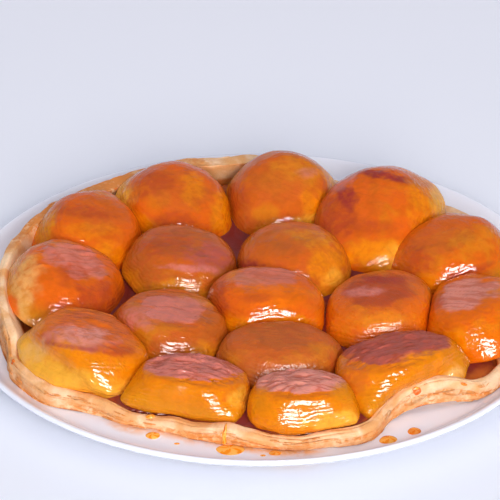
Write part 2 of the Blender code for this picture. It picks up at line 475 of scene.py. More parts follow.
LOOKS: tuple[HalfLook, ...] = (
    HalfLook(
        Tone.COPPER, Tone.ORANGE, Tone.HONEY, wrinkle=0.15, dome=2.2,
        spots=(
            Spot(Tone.LEMON, -0.88, 0.1, 0.24, 0.8, 0.75),
            Spot(Tone.RUST, -0.35, 0.45, 0.4, 0.35, 0.6),
            Spot(Tone.RUST, 0.0, -0.3, 0.6, 0.2, 0.6),
            Spot(Tone.AMBER, 0.35, 0.4, 0.22, 0.5, 0.6),
            Spot(Tone.AMBER, 0.85, -0.1, 0.25, 0.5, 0.7),
            Spot(Tone.AMBER, -0.6, -0.45, 0.35, 0.4, 0.8),
        ),
    ),
    HalfLook(
        Tone.COPPER, Tone.COPPER, Tone.HONEY, wrinkle=0.15, dome=2.0,
        spots=(
            Spot(Tone.RUST, -0.75, -0.2, 0.3, 0.6, 0.5),
            Spot(Tone.HONEY, 0.3, 0.6, 0.7, 0.3, 0.5),
            Spot(Tone.MAUVE_SHEEN, 0.4, 0.5, 0.18, 0.12, 0.6),
            Spot(Tone.LEMON, 0.92, 0.2, 0.18, 0.6, 0.7),
            Spot(Tone.AMBER, 0.55, -0.2, 0.3, 0.4, 0.7),
            # paler lower front: pale flesh, and partly a painted highlight
            Spot(Tone.LEMON, 0.45, -0.6, 0.4, 0.25, 0.7),
            Spot(Tone.HONEY, 0.1, -0.75, 0.7, 0.2, 0.7),
        ),
    ),
    HalfLook(
        Tone.ORANGE, Tone.ORANGE, Tone.AMBER, wrinkle=0.2, dome=1.6, sag=7,
        spots=(
            Spot(Tone.RUST, -0.7, 0.0, 0.35, 0.6, 0.7),
            Spot(Tone.WINE, 0.1, 0.78, 0.55, 0.09, 0.8, -14),
            Spot(Tone.WINE, -0.45, 0.42, 0.14, 0.24, 0.7, 30),
            Spot(Tone.MAUVE_SHEEN, -0.5, 0.75, 0.28, 0.14, 0.7, 40),
            Spot(Tone.RUST, -0.15, -0.12, 0.7, 0.16, 0.5),
            Spot(Tone.AMBER, 0.65, 0.3, 0.3, 0.6, 0.7),
            Spot(Tone.LEMON, 0.92, 0.3, 0.14, 0.6, 0.8),
            Spot(Tone.AMBER, 0.0, -0.6, 0.7, 0.3, 0.85),
            # paler lower front: pale flesh, and partly a painted highlight
            Spot(Tone.LEMON, 0.35, -0.68, 0.4, 0.25, 0.8),
        ),
    ),
    HalfLook(
        Tone.COPPER, Tone.ORANGE, Tone.HONEY, wrinkle=0.2, dome=1.8,
        spots=(
            Spot(Tone.RUST, -0.55, -0.2, 0.35, 0.5, 0.6),
            Spot(Tone.RUST, 0.25, -0.3, 0.45, 0.08, 0.7, 25),
            Spot(Tone.HONEY, 0.3, 0.3, 0.5, 0.4, 0.5),
            Spot(Tone.AMBER, -0.35, -0.6, 0.3, 0.25, 0.7),
        ),
    ),
    HalfLook(
        Tone.BLUSH_SHEEN, Tone.TANGERINE, Tone.TANGERINE, wrinkle=0.35, pitch=5.0, dome=0.6,
        spots=(
            Spot(Tone.RUST, -0.85, 0.4, 0.25, 0.3, 0.6),
            Spot(Tone.AMBER, -0.5, -0.4, 0.4, 0.3, 0.7),
        ),
    ),
    HalfLook(
        Tone.PLUM_SHEEN, Tone.AMBER, Tone.HONEY, wrinkle=1.4, pitch=3.4, crisp=0.8,
        spots=(
            Spot(Tone.COPPER, -0.75, -0.1, 0.25, 0.5, 0.6),
            Spot(Tone.AMBER, 0.4, 0.35, 0.5, 0.22, 0.85, 10),
            Spot(Tone.STRAW, 0.7, -0.05, 0.14, 0.4, 0.7, -30),
        ),
    ),
    HalfLook(
        Tone.BLUSH_SHEEN, Tone.AMBER, Tone.AMBER, wrinkle=1.3, pitch=3.4, crisp=0.9,
        spots=(
            Spot(Tone.LEMON, 0.55, -0.6, 0.5, 0.4, 0.9),
            Spot(Tone.HONEY, 0.75, 0.3, 0.3, 0.4, 0.6),
        ),
    ),
    HalfLook(
        Tone.MAUVE_SHEEN, Tone.AMBER, Tone.HONEY, wrinkle=1.8, pitch=3.6, crisp=1.0,
        spots=(
            Spot(Tone.LEMON, 0.85, -0.3, 0.2, 0.4, 0.7),
            Spot(Tone.HONEY, -0.7, -0.4, 0.4, 0.5, 0.5),
        ),
    ),
    HalfLook(
        Tone.ORANGE, Tone.AMBER, Tone.LEMON, wrinkle=0.8, pitch=3.6, crisp=0.5, dome=0.6,
        spots=(
            Spot(Tone.RUST, -0.5, 0.35, 0.2, 0.25, 0.6, -20),
            Spot(Tone.BLUSH_SHEEN, 0.0, 0.34, 0.5, 0.26, 0.75, -12),
            Spot(Tone.WINE, -0.15, 0.14, 0.42, 0.06, 0.55, -12),
            Spot(Tone.RUST, 0.5, 0.08, 0.32, 0.14, 0.65, -12),
            Spot(Tone.STRAW, -0.75, 0.0, 0.25, 0.3, 0.6),
            Spot(Tone.LEMON, -0.3, -0.55, 0.6, 0.25, 0.7),
        ),
    ),
    HalfLook(
        Tone.MAUVE_SHEEN, Tone.ORANGE, Tone.HONEY, wrinkle=0.8, pitch=4.5, dome=0.8, sag=5,
        spots=(
            Spot(Tone.ORANGE, -0.22, 0.12, 0.38, 0.42, 0.85, -25),
            Spot(Tone.STRAW, -0.68, 0.0, 0.3, 1.0, 0.65),
            Spot(Tone.ORANGE, -0.85, -0.35, 0.1, 0.25, 0.9, 20),
            Spot(Tone.RUST, 0.65, -0.35, 0.4, 0.6, 0.7),
            Spot(Tone.RUST, 0.15, 0.3, 0.25, 0.3, 0.5),
        ),
    ),
    HalfLook(
        Tone.COPPER, Tone.ORANGE, Tone.ORANGE, wrinkle=0.2, dome=2.0, sag=4,
        spots=(
            Spot(Tone.RUST, -0.05, 0.5, 0.6, 0.16, 0.6, -8),
            Spot(Tone.HONEY, -0.8, 0.2, 0.25, 0.6, 0.8),
            Spot(Tone.AMBER, 0.1, 0.1, 0.6, 0.2, 0.5),
            Spot(Tone.AMBER, 0.45, -0.35, 0.35, 0.3, 0.7),
        ),
    ),
    HalfLook(
        Tone.TOFFEE, Tone.TOFFEE, Tone.HONEY, wrinkle=0.4, pitch=5.0, dome=1.4, dull=0.2,
        spots=(
            Spot(Tone.RUST, -0.2, 0.5, 0.6, 0.35, 0.5),
            Spot(Tone.PLUM_SHEEN, 0.5, 0.2, 0.4, 0.4, 0.8),
            Spot(Tone.MAUVE_SHEEN, 0.15, -0.08, 0.5, 0.1, 0.7, -6),
            Spot(Tone.HONEY, -0.1, -0.55, 0.4, 0.25, 0.6),
        ),
    ),
    HalfLook(
        Tone.COPPER, Tone.COPPER, Tone.HONEY, wrinkle=0.2, dome=1.8,
        spots=(
            Spot(Tone.WINE, -0.75, -0.25, 0.3, 0.25, 0.7),
            Spot(Tone.AMBER, 0.6, -0.1, 0.35, 0.6, 0.8),
            Spot(Tone.LEMON, 0.7, -0.45, 0.25, 0.25, 0.6),
            Spot(Tone.TOFFEE, -0.4, 0.4, 0.5, 0.4, 0.5),
            Spot(Tone.HONEY, 0.35, 0.6, 0.5, 0.25, 0.5),
        ),
    ),
    HalfLook(
        Tone.RUST, Tone.TANGERINE, Tone.ORANGE, wrinkle=0.4, crisp=0.3, dome=0.6, dull=0.6,
        spots=(
            Spot(Tone.WINE, 0.1, 0.75, 0.5, 0.14, 0.6),
            Spot(Tone.MAUVE_SHEEN, -0.3, 0.45, 0.5, 0.14, 0.7, 8),
            Spot(Tone.AMBER, -0.05, -0.25, 0.6, 0.25, 0.7),
        ),
    ),
    HalfLook(
        Tone.TOFFEE, Tone.TOFFEE, Tone.TOFFEE, wrinkle=0.15, dome=1.0, dull=0.75,
        spots=(Spot(Tone.HONEY, 0.35, -0.2, 0.4, 0.3, 0.4),),
    ),
    HalfLook(
        Tone.MAUVE_SHEEN, Tone.TOFFEE, Tone.HONEY, wrinkle=0.9, pitch=8.0, dome=0.6, dull=0.3,
        spots=(
            Spot(Tone.TOFFEE, 0.75, 0.1, 0.3, 0.6, 0.7),
            Spot(Tone.MAUVE_SHEEN, -0.45, 0.25, 0.35, 0.35, 0.6),
            Spot(Tone.HONEY, 0.6, -0.6, 0.4, 0.2, 0.6),
        ),
    ),
    HalfLook(
        Tone.MAUVE_SHEEN, Tone.ORANGE, Tone.TANGERINE, wrinkle=0.35, pitch=5.0, dome=1.4,
        spots=(
            Spot(Tone.RUST, -0.8, 0.1, 0.25, 0.6, 0.7),
            Spot(Tone.TANGERINE, 0.2, 0.2, 0.65, 0.35, 0.9),
            Spot(Tone.RUST, -0.1, 0.15, 0.4, 0.15, 0.5, 10),
            Spot(Tone.AMBER, 0.5, -0.5, 0.4, 0.25, 0.7),
            Spot(Tone.AMBER, -0.5, -0.55, 0.4, 0.25, 0.7),
        ),
    ),
)


@dataclass(frozen=True)
class CookedApple:
    """Soft cooked apple under a wet glaze."""

    look: HalfLook
    number: int
    grain_stretch: tuple[float, float, float] = (0.16, 1.0, 0.5)  # along, across and below the flat
    seared_depth: float = 7.0 * MM  # how far below the flat the pan browned the flanks
    contour_pitch: float = 2.1 * MM  # spacing of the faint rings round the flanks
    relief: float = 0.42 * MM
    wet: float = 0.06  # roughness of the glaze
    dry: float = 0.35  # what a dull half has more

    def build(self) -> bpy.types.Material:
        """Make the material; it reads the attributes "pan", "flat", "spots" and one that holds the painted
        shade of the flat's wrinkle valleys.

        Returns:
            The material of this one half.
        """
        graph = Graph(f"caramelised_apple_{self.number:02d}")
        flatness = 1 - 0.25 * min(self.look.dome, 2.0)
        where = graph.place()
        pan = graph.attribute("pan").outputs["Vector"]
        below = graph.part_of(pan, "Z")
        drawn = graph.node("ShaderNodeMapping", None, {"Vector": pan, "Scale": self.grain_stretch}).outputs[0]
        grain = graph.noise(drawn, 1.5 * MM, 3.0, 0.5)
        cloud = graph.noise(where, 19 * MM, 2.0, 0.4)
        blotch = graph.noise(where, 11 * MM, 3.0, 0.7)
        mottle = graph.noise(where, 3.5 * MM, 3.0, 0.4)

        flat = (graph.number("flat") + (grain - 0.5) * 0.5).between(0.15, 0.85) * flatness
        seared = (below + (blotch - 0.5) * 8 * MM).between(self.seared_depth, 0.5 * MM)
        low = (below + (blotch - 0.5) * 7 * MM).between(9 * MM, 19 * MM)

        body = graph.mix(low, self.look.face.linear, self.look.foot.linear)
        body = graph.mix(seared * 0.5, body, Tone.ORANGE.linear)
        body = graph.mix(cloud.between(0.48, 0.72) * 0.5, body, Tone.HONEY.linear)
        body = graph.mix((blotch * 0.6 + mottle * 0.4).between(0.5, 0.66) * 0.4, body, Tone.RUST.linear)
        # painted shade: the flat's colour darkens towards rust in its wrinkle valleys
        valley = graph.number("valley") * 0.8 + (grain - 0.5) * 0.6
        top = graph.mix(valley.between(0.1, 0.9) * 0.6 * flatness, self.look.top.linear, Tone.RUST.linear)
        colour = graph.mix(flat, body, top)
        spots = graph.attribute("spots")
        cover = Signal(graph, spots.outputs["Alpha"]) * mottle.between(0.3, 0.6, 0.7, 1.1)
        colour = graph.mix(cover.between(0.05, 1.0), colour, spots.outputs["Color"])
        tint = blotch.between(0.3, 0.7, 0.9, 1.08) * mottle.between(0.25, 0.75, 0.95, 1.05)
        graph.set(base_color=graph.shade(colour, tint))

        gloss = self.wet + self.dry * self.look.dull
        graph.set(roughness=flat.between(0.0, 1.0, gloss, gloss + 0.12) + mottle.between(0.3, 0.7, 0.0, 0.05))
        graph.set(ior=1.34, subsurface_weight=0.15)
        graph.set(subsurface_radius=(1.0, 0.35, 0.08), subsurface_scale=4 * MM)
        ripple = graph.noise(where, 2.8 * MM, 1.0, 0.8)
        contour = (below * (math.tau / self.contour_pitch) + cloud * 26.0 + mottle * 5.0).sine()
        graph.bump(ripple * (1 - flat * 0.4) + contour * 0.14 + flat * grain * 1.2, self.relief)
        return graph.material


# Mesh tools


def merged_copy(node: bpy.types.Object) -> bmesh.types.BMesh:
    """Copy a frame node's mesh with its loose triangles joined.

    Args:
        node: The node's object.

    Returns:
        The copy, as a bmesh.
    """
    bm = bmesh.new()
    bm.from_mesh(node.data)
    bmesh.ops.remove_doubles(bm, verts=bm.verts, dist=0.01 * MM)
    return bm


def mesh_object(name: str, bm: bmesh.types.BMesh) -> bpy.types.Object:
    """Make a smooth-shaded object of a bmesh and free it.

    Args:
        name: The object's name.
        bm: The mesh, in its final place.

    Returns:
        The new object.
    """
    mesh = bpy.data.meshes.new(name)
    bm.to_mesh(mesh)
    bm.free()
    mesh.shade_smooth()
    made = bpy.data.objects.new(name, mesh)
    bpy.context.scene.collection.objects.link(made)
    return made


def apply_modifiers(piece: bpy.types.Object) -> None:
    """Replace an object's mesh by what its modifiers make of it, and drop them.

    Args:
        piece: The object.
    """
    bpy.context.view_layer.update()
    evaluated = piece.evaluated_get(bpy.context.evaluated_depsgraph_get())
    mesh = bpy.data.meshes.new_from_object(evaluated)
    piece.modifiers.clear()
    piece.data = mesh
    mesh.shade_smooth()


def points_of(mesh: bpy.types.Mesh) -> np.ndarray:
    """A mesh's vertex places, one row each."""
    flat = np.empty(len(mesh.vertices) * 3)
    mesh.vertices.foreach_get("co", flat)
    return flat.reshape(-1, 3)


def normals_of(mesh: bpy.types.Mesh) -> np.ndarray:
    """A mesh's vertex normals, one row each."""
    flat = np.empty(len(mesh.vertices) * 3)
    mesh.vertex_normals.foreach_get("vector", flat)
    return flat.reshape(-1, 3)


def move_points(mesh: bpy.types.Mesh, points: np.ndarray) -> None:
    """Give a mesh's vertices new places."""
    mesh.vertices.foreach_set("co", points.ravel())
    mesh.update()


def write_attribute(mesh: bpy.types.Mesh, name: str, values: np.ndarray) -> None:
    """Store one number, vector or colour a vertex.

    Args:
        mesh: The mesh.
        name: The attribute's name.
        values: One row a vertex, with 1, 3 or 4 columns.
    """
    kinds = {1: ("FLOAT", "value"), 3: ("FLOAT_VECTOR", "vector"), 4: ("FLOAT_COLOR", "color")}
    kind, key = kinds[1 if values.ndim == 1 else values.shape[1]]
    attribute = mesh.attributes.new(name, kind, "POINT")
    attribute.data.foreach_set(key, values.astype(np.float32).ravel())


def finish_piece(piece: bpy.types.Object, material: bpy.types.Material, slot: str, *nodes: str) -> None:
    """Dress a piece, tie it to the frame and report it.

    Args:
        piece: The object.
        material: Its material.
        slot: Not used.
        *nodes: The frame's nodes that it stands for.
    """
    piece.data.materials.clear()
    piece.data.materials.append(material)
    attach(piece, BODY)
    if nodes:
        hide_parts(*nodes)
    LOG.info("%s: %d faces", piece.name, len(piece.data.polygons))


# Apple halves


@dataclass
class AppleHalf:
    """One cooked half, remade from its frame node with its dents, wrinkles and spots."""

    node: bpy.types.Object
    number: int
    look: HalfLook
    voxel: float = 0.85 * MM  # fineness of its mesh
    smoothing: int = 7
    fullness: float = 0.5 * MM  # how far the flanks swell past the frame's facets
    dent: float = 0.9 * MM  # depth of the broad dents
    dent_size: float = 17 * MM
    ripple: float = 0.13 * MM  # depth of the fine ones
    ripple_size: float = 5.5 * MM
    shoulder: float = 1.5 * MM  # how far the flat's border is rounded off
    overlap: float = 3.0 * MM  # how far the foot presses into the pastry
    give: float = 16 * MM  # the furthest that the foot slumps against the pastry
    slump_start: tuple[float, float] = (-163.0, -149.0)  # bearings between which that sets in, in degrees
    slump_end: tuple[float, float] = (-44.0, -37.0)  # and between which it ends
    slump_height: float = 17 * MM  # a foot keeps its place above this
    same_flat: float = 0.9999  # least cosine between facets of one flat
    floor: float = field(init=False)
    flat_normal: Vector = field(init=False)
    flat_middle: Vector = field(init=False)
    grain: Vector = field(init=False)
    flat_length: float = field(init=False)
    flat_width: float = field(init=False)

    def build(self) -> bpy.types.Object:
        """Model the half and dress it.

        Returns:
            The finished piece.
        """
        self._read_frame()
        piece = self._rounded()
        self._settle(piece.data)
        self._cook(piece.data)
        self._paint(piece.data)
        material = CookedApple(self.look, self.number).build()
        finish_piece(piece, material, "caramelised_apple", self.node.name)
        return piece

    def _read_frame(self) -> None:
        """Find the flat that the pan left, from the frame's facets."""
        bm = merged_copy(self.node)
        self.floor = min(vert.co.z for vert in bm.verts)
        best = max(
            (face for face in bm.faces if face.normal.z > 0.7),
            key=lambda face: sum(f.calc_area() for f in self._alike(bm, face)),
        )
        flat = self._alike(bm, best)
        area = sum(face.calc_area() for face in flat)
        self.flat_normal = best.normal.copy()
        self.flat_middle = sum((f.calc_center_median() * f.calc_area() for f in flat), Vector()) / area
        spread = np.array([(vert.co - self.flat_middle)[:] for face in flat for vert in face.verts])
        self.grain = Vector(np.linalg.svd(spread, full_matrices=False)[2][0])
        self.flat_length = np.abs(spread @ np.array(self.grain)).max()
        self.flat_width = np.abs(spread @ np.array(self.flat_normal.cross(self.grain))).max()
        bm.free()

    def _alike(self, bm: bmesh.types.BMesh, face: bmesh.types.BMFace) -> list[bmesh.types.BMFace]:
        """The facets that face the same way as one of them."""
        return [other for other in bm.faces if other.normal.dot(face.normal) > self.same_flat]

    def _rounded(self) -> bpy.types.Object:
        """The frame's facets, rounded off and meshed finely."""
        piece = mesh_object(f"cooked_{self.node.name}", merged_copy(self.node))
        rounder = piece.modifiers.new("rounded", "SUBSURF")
        rounder.levels = 2
        rounder.render_levels = 2
        fine = piece.modifiers.new("fine", "REMESH")
        fine.mode = "VOXEL"
        fine.voxel_size = self.voxel
        relaxed = piece.modifiers.new("relaxed", "SMOOTH")
        relaxed.factor = 0.5
        relaxed.iterations = self.smoothing
        apply_modifiers(piece)
        self._fit(piece.data)
        return piece

    def _fit(self, mesh: bpy.types.Mesh) -> None:
        """Stretch the rounded half back to the frame node's box, less what the flanks swell.

        Args:
            mesh: The half's mesh.
        """
        low, high = (np.array(corner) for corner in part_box(self.node.name))
        low, high = low + self.fullness * np.array((1, 1, 0)), high - self.fullness
        high[2] -= self.look.dome * 0.7 * MM
        points = points_of(mesh)
        start, end = points.min(axis=0), points.max(axis=0)
        move_points(mesh, low + (points - start) / (end - start) * (high - low))

    def _settle(self, mesh: bpy.types.Mesh) -> None:
        """Let the soft foot slump, towards the front and out against the pastry's front edge.

        Args:
            mesh: The half's mesh.
        """
        points = points_of(mesh)
        low = 1 - (points[:, 2] - self.floor) / (self.flat_middle.z - self.floor)
        ahead = smoothstep(points[:, 1], points[:, 1].mean(), points[:, 1].min())
        points[:, 1] -= self.look.sag * MM * smoothstep(low, 0.1, 0.6) * ahead

        spot = points[:, :2] - np.array(TART_MIDDLE.xy)
        reach = np.hypot(spot[:, 0], spot[:, 1])
        bearing = np.degrees(np.arctan2(spot[:, 1], spot[:, 0]))
        first, last = bearing.min(), bearing.max()
        side = np.abs(bearing - (first + last) / 2) / (last - first) * 2
        stops = [point.bearing for point in FRONT_EDGE]
        edge = np.interp(bearing, stops, [point.inner for point in FRONT_EDGE]) * MM
        told = smoothstep(bearing, *self.slump_start) * smoothstep(bearing, *reversed(self.slump_end))
        height = points[:, 2] - self.floor
        far, widest = self._reach_at(bearing, height, reach)
        gap = edge + self.overlap - far
        told = told * smoothstep(edge - widest, 25 * MM, 17 * MM) * smoothstep(side, 1.0, 0.8)
        gap = np.clip(gap, -self.give / 2, self.give) * told
        outside = smoothstep(reach, far - 26 * MM, far - 2 * MM)
        push = gap * outside * smoothstep(height, self.slump_height, 6 * MM)
        points[:, :2] += spot * (push / reach)[:, None]
        move_points(mesh, points)

    @staticmethod
    def _reach_at(
        bearing: np.ndarray, height: np.ndarray, reach: np.ndarray
    ) -> tuple[np.ndarray, np.ndarray]:
        """How far out the half goes at each point's own bearing.

        Args:
            bearing: The points' directions from the tart's middle, in degrees.
            height: Their heights over the half's foot.
            reach: Their distances from the tart's middle.

        Returns:
            Its reach at the point's own height, and at any height.
        """
        band, bands = 2 * MM, 10
        steps = np.arange(bearing.min(), bearing.max(), 2.0)
        outlines = []
        for middle in range(bands):
            near = np.abs(height - middle * band) < 0.6 * band
            beside = [near & (np.abs(bearing - step) < 1.5) for step in steps]
            furthest = np.array([reach[mask].max(initial=0.0) for mask in beside])
            found = furthest > 0
            outlines.append(np.interp(bearing, steps[found], furthest[found]))
        lines = np.array(outlines)
        place = np.clip(height / band, 0, bands - 1.001)
        low = place.astype(int)
        each = np.arange(len(reach))
        share = place - low
        return lines[low, each] * (1 - share) + lines[low + 1, each] * share, lines.max(axis=0)

    def _below(self, points: np.ndarray) -> np.ndarray:
        """How far each point lies under the flat's plane."""
        return -(points - np.array(self.flat_middle)) @ np.array(self.flat_normal)

    def _on_the_flat(self, points: np.ndarray) -> tuple[np.ndarray, np.ndarray, np.ndarray]:
        """Where each point lies along and across the flat's grain.

        Args:
            points: The places, one row each.

        Returns:
            How far along, how far across, and the nearness to the middle: 1 there and 0 at the border.
        """
        lie = points - np.array(self.flat_middle)
        along = lie @ np.array(self.grain)
        across = lie @ np.array(self.flat_normal.cross(self.grain))
        return along, across, 1 - (along / self.flat_length) ** 2 - (across / self.flat_width) ** 2

    def _cook(self, mesh: bpy.types.Mesh) -> None:
        """Swell the flanks, sharpen the flat's edge, and add dents and wrinkles.

        Args:
            mesh: The half's mesh.
        """
        points = points_of(mesh)
        normals = normals_of(mesh)
        below = self._below(points)
        flank = smoothstep(below, 0.3 * MM, 3.5 * MM)
        seed = self.number * 1.7
        dents = noise_at(points, self.dent_size, seed) * self.dent
        points += normals * (flank * (self.fullness + dents))[:, None]
        above = -np.minimum(self._below(points), 0)
        points -= np.array(self.flat_normal) * (above * self.look.crisp)[:, None]

        along, across, middle = self._on_the_flat(points)
        dome = self.look.dome * MM * smoothstep(middle, -0.6, 1.0)
        bend = noise_at(points, 15 * MM, seed + 7) * 3 * MM
        drawn = np.stack((along * 0.2, across + bend, below * 0.5), axis=1)
        creases = np.abs(noise_at(drawn, self.look.pitch * MM, seed + 9, 3)) * 2
        patchy = smoothstep(noise_at(points, 12 * MM, seed + 11), -0.5, 0.4)
        folds = (creases - 0.5) * self.look.wrinkle * MM * smoothstep(below, 3.5 * MM, 1.2 * MM) * patchy
        ripples = noise_at(points, self.ripple_size, seed + 5, 2) * self.ripple
        rounding = smoothstep(middle, 0.5, -0.1) * smoothstep(below, 5 * MM, 1 * MM)
        rounding *= self.shoulder * self.look.crisp
        points += np.array(self.flat_normal) * (dome + folds - rounding)[:, None]
        points += normals * ripples[:, None]
        points[:, 2] = np.maximum(points[:, 2], self.floor)
        move_points(mesh, points)
        # painted shade: how deep in a wrinkle valley each point lies, to darken its colour
        write_attribute(mesh, "valley", smoothstep(creases, 0.5, 0.1))

    def _paint(self, mesh: bpy.types.Mesh) -> None:
        """Store the half's own coordinates and its spots.

        Args:
            mesh: The half's mesh.
        """
        points = points_of(mesh)
        along, across, middle = self._on_the_flat(points)
        write_attribute(mesh, "pan", np.stack((along, across, self._below(points)), axis=1))
        rising = points[:, 1] * math.sin(VIEW_RISE) + points[:, 2] * math.cos(VIEW_RISE)
        right, up = ((line - line.min()) / np.ptp(line) * 2 - 1 for line in (points[:, 0], rising))
        write_attribute(mesh, "spots", self._spots(points, right, up))
        soft = 1 - self.look.crisp
        edge = (1.0 + 3.0 * smoothstep(up, 0.0, 0.7)) * MM
        ragged = noise_at(points, 9 * MM, self.number + 40.0, 2) * (0.7 + 1.6 * soft) * MM
        crisp = smoothstep(self._below(points) + ragged, edge * 1.4, edge * 0.6)
        faded = smoothstep(middle + ragged / (4 * MM), -0.15, 0.75)
        write_attribute(mesh, "flat", np.minimum(crisp, faded * soft + self.look.crisp))

    def _spots(self, points: np.ndarray, right: np.ndarray, up: np.ndarray) -> np.ndarray:
        """Lay the spots over each other.

        Args:
            points: The vertices' places.
            right: How far to the right each lies, from -1 to 1.
            up: How far up each lies as seen from the front, from -1 to 1.

        Returns:
            One colour a vertex, with how far it covers as alpha.
        """
        wobble = noise_at(points, 8 * MM, self.number + 20.0, 3)
        colour = np.zeros((len(points), 3))
        cover = np.zeros(len(points))
        for spot in self.look.spots:
            slant = math.radians(spot.slant)
            side, rest = right - spot.right, up - spot.up
            wide = (side * math.cos(slant) + rest * math.sin(slant)) / spot.wide
            high = (rest * math.cos(slant) - side * math.sin(slant)) / spot.high
            mask = smoothstep(np.hypot(wide, high) + wobble * 0.45, 1.35, 0.45) * spot.amount
            total = cover + mask - cover * mask
            weight = np.divide(mask, total, out=np.zeros_like(mask), where=total > 1e-6)[:, None]
            colour = colour * (1 - weight) + np.array(spot.tone.linear[:3]) * weight
            cover = total
        return np.column_stack((colour, cover))


# Pastry


def periodic(values: np.ndarray, count: int) -> np.ndarray:
    """Resample values that go once round, on a smooth curve through them.

    Args:
        values: The values at even bearings.
        count: How many values to return, a multiple of their number.

    Returns:
        The finer values.
    """
    parts = np.fft.rfft(values)
    wide = np.zeros(count // 2 + 1, dtype=complex)
    keep = np.exp(-((np.arange(len(parts)) / (len(parts) * 0.55)) ** 4))
    wide[: len(parts)] = parts * keep
    return np.fft.irfft(wide, count) * count / len(values)


@dataclass(frozen=True)
class EdgePoint:
    """The turned-up edge at one bearing from the tart's middle; degrees, then mm."""

    bearing: float
    inner: float  # radius of the inner face at the crown
    outer: float  # radius of the outer face at the foot
    crown: float  # height of the crown over the table
    lift: float = 0.0  # how far the foot stands off the plate


FRONT_EDGE: tuple[EdgePoint, ...] = (
    EdgePoint(-152, 144, 149, 19.5),
    EdgePoint(-145, 142, 148, 18),
    EdgePoint(-140, 139, 145, 17),
    EdgePoint(-134, 130, 137, 16),
    EdgePoint(-130, 127, 133, 15.5),
    EdgePoint(-123, 127, 132, 13.5),
    EdgePoint(-116, 122, 128, 13.5),
    EdgePoint(-112, 121, 127, 14),
    EdgePoint(-108, 122, 129, 14.5),
    EdgePoint(-100, 121, 129, 16.5),
    EdgePoint(-92, 125, 131, 14.5),
    EdgePoint(-84, 128, 134, 13.5),
    EdgePoint(-78, 126, 132, 14),
    EdgePoint(-71, 128, 135, 15.5),
    EdgePoint(-67, 125, 132, 16.5),
    EdgePoint(-61, 116, 122, 18.5),
    EdgePoint(-56, 113, 120, 21, 1.5),
    EdgePoint(-51, 114, 123, 23.5, 3),
    EdgePoint(-45, 121, 129, 23, 2.5),
    EdgePoint(-40, 130, 136, 18.5, 0.5),
    EdgePoint(-35, 132, 138, 16),
    EdgePoint(-30, 132, 138, 16),
)


@dataclass(frozen=True)
class CrownWave:
    """A rise or a dip of the edge's crown; bearing and spread in degrees, the rise in mm."""

    bearing: float
    spread: float
    rise: float


BACK_CROWN: tuple[CrownWave, ...] = (
    CrownWave(142, 12, -4.5),
    CrownWave(118, 8, -2.5),
    CrownWave(72, 7, 2.0),
    CrownWave(42, 8, 8.5),
    CrownWave(30, 7, 7.0),
)


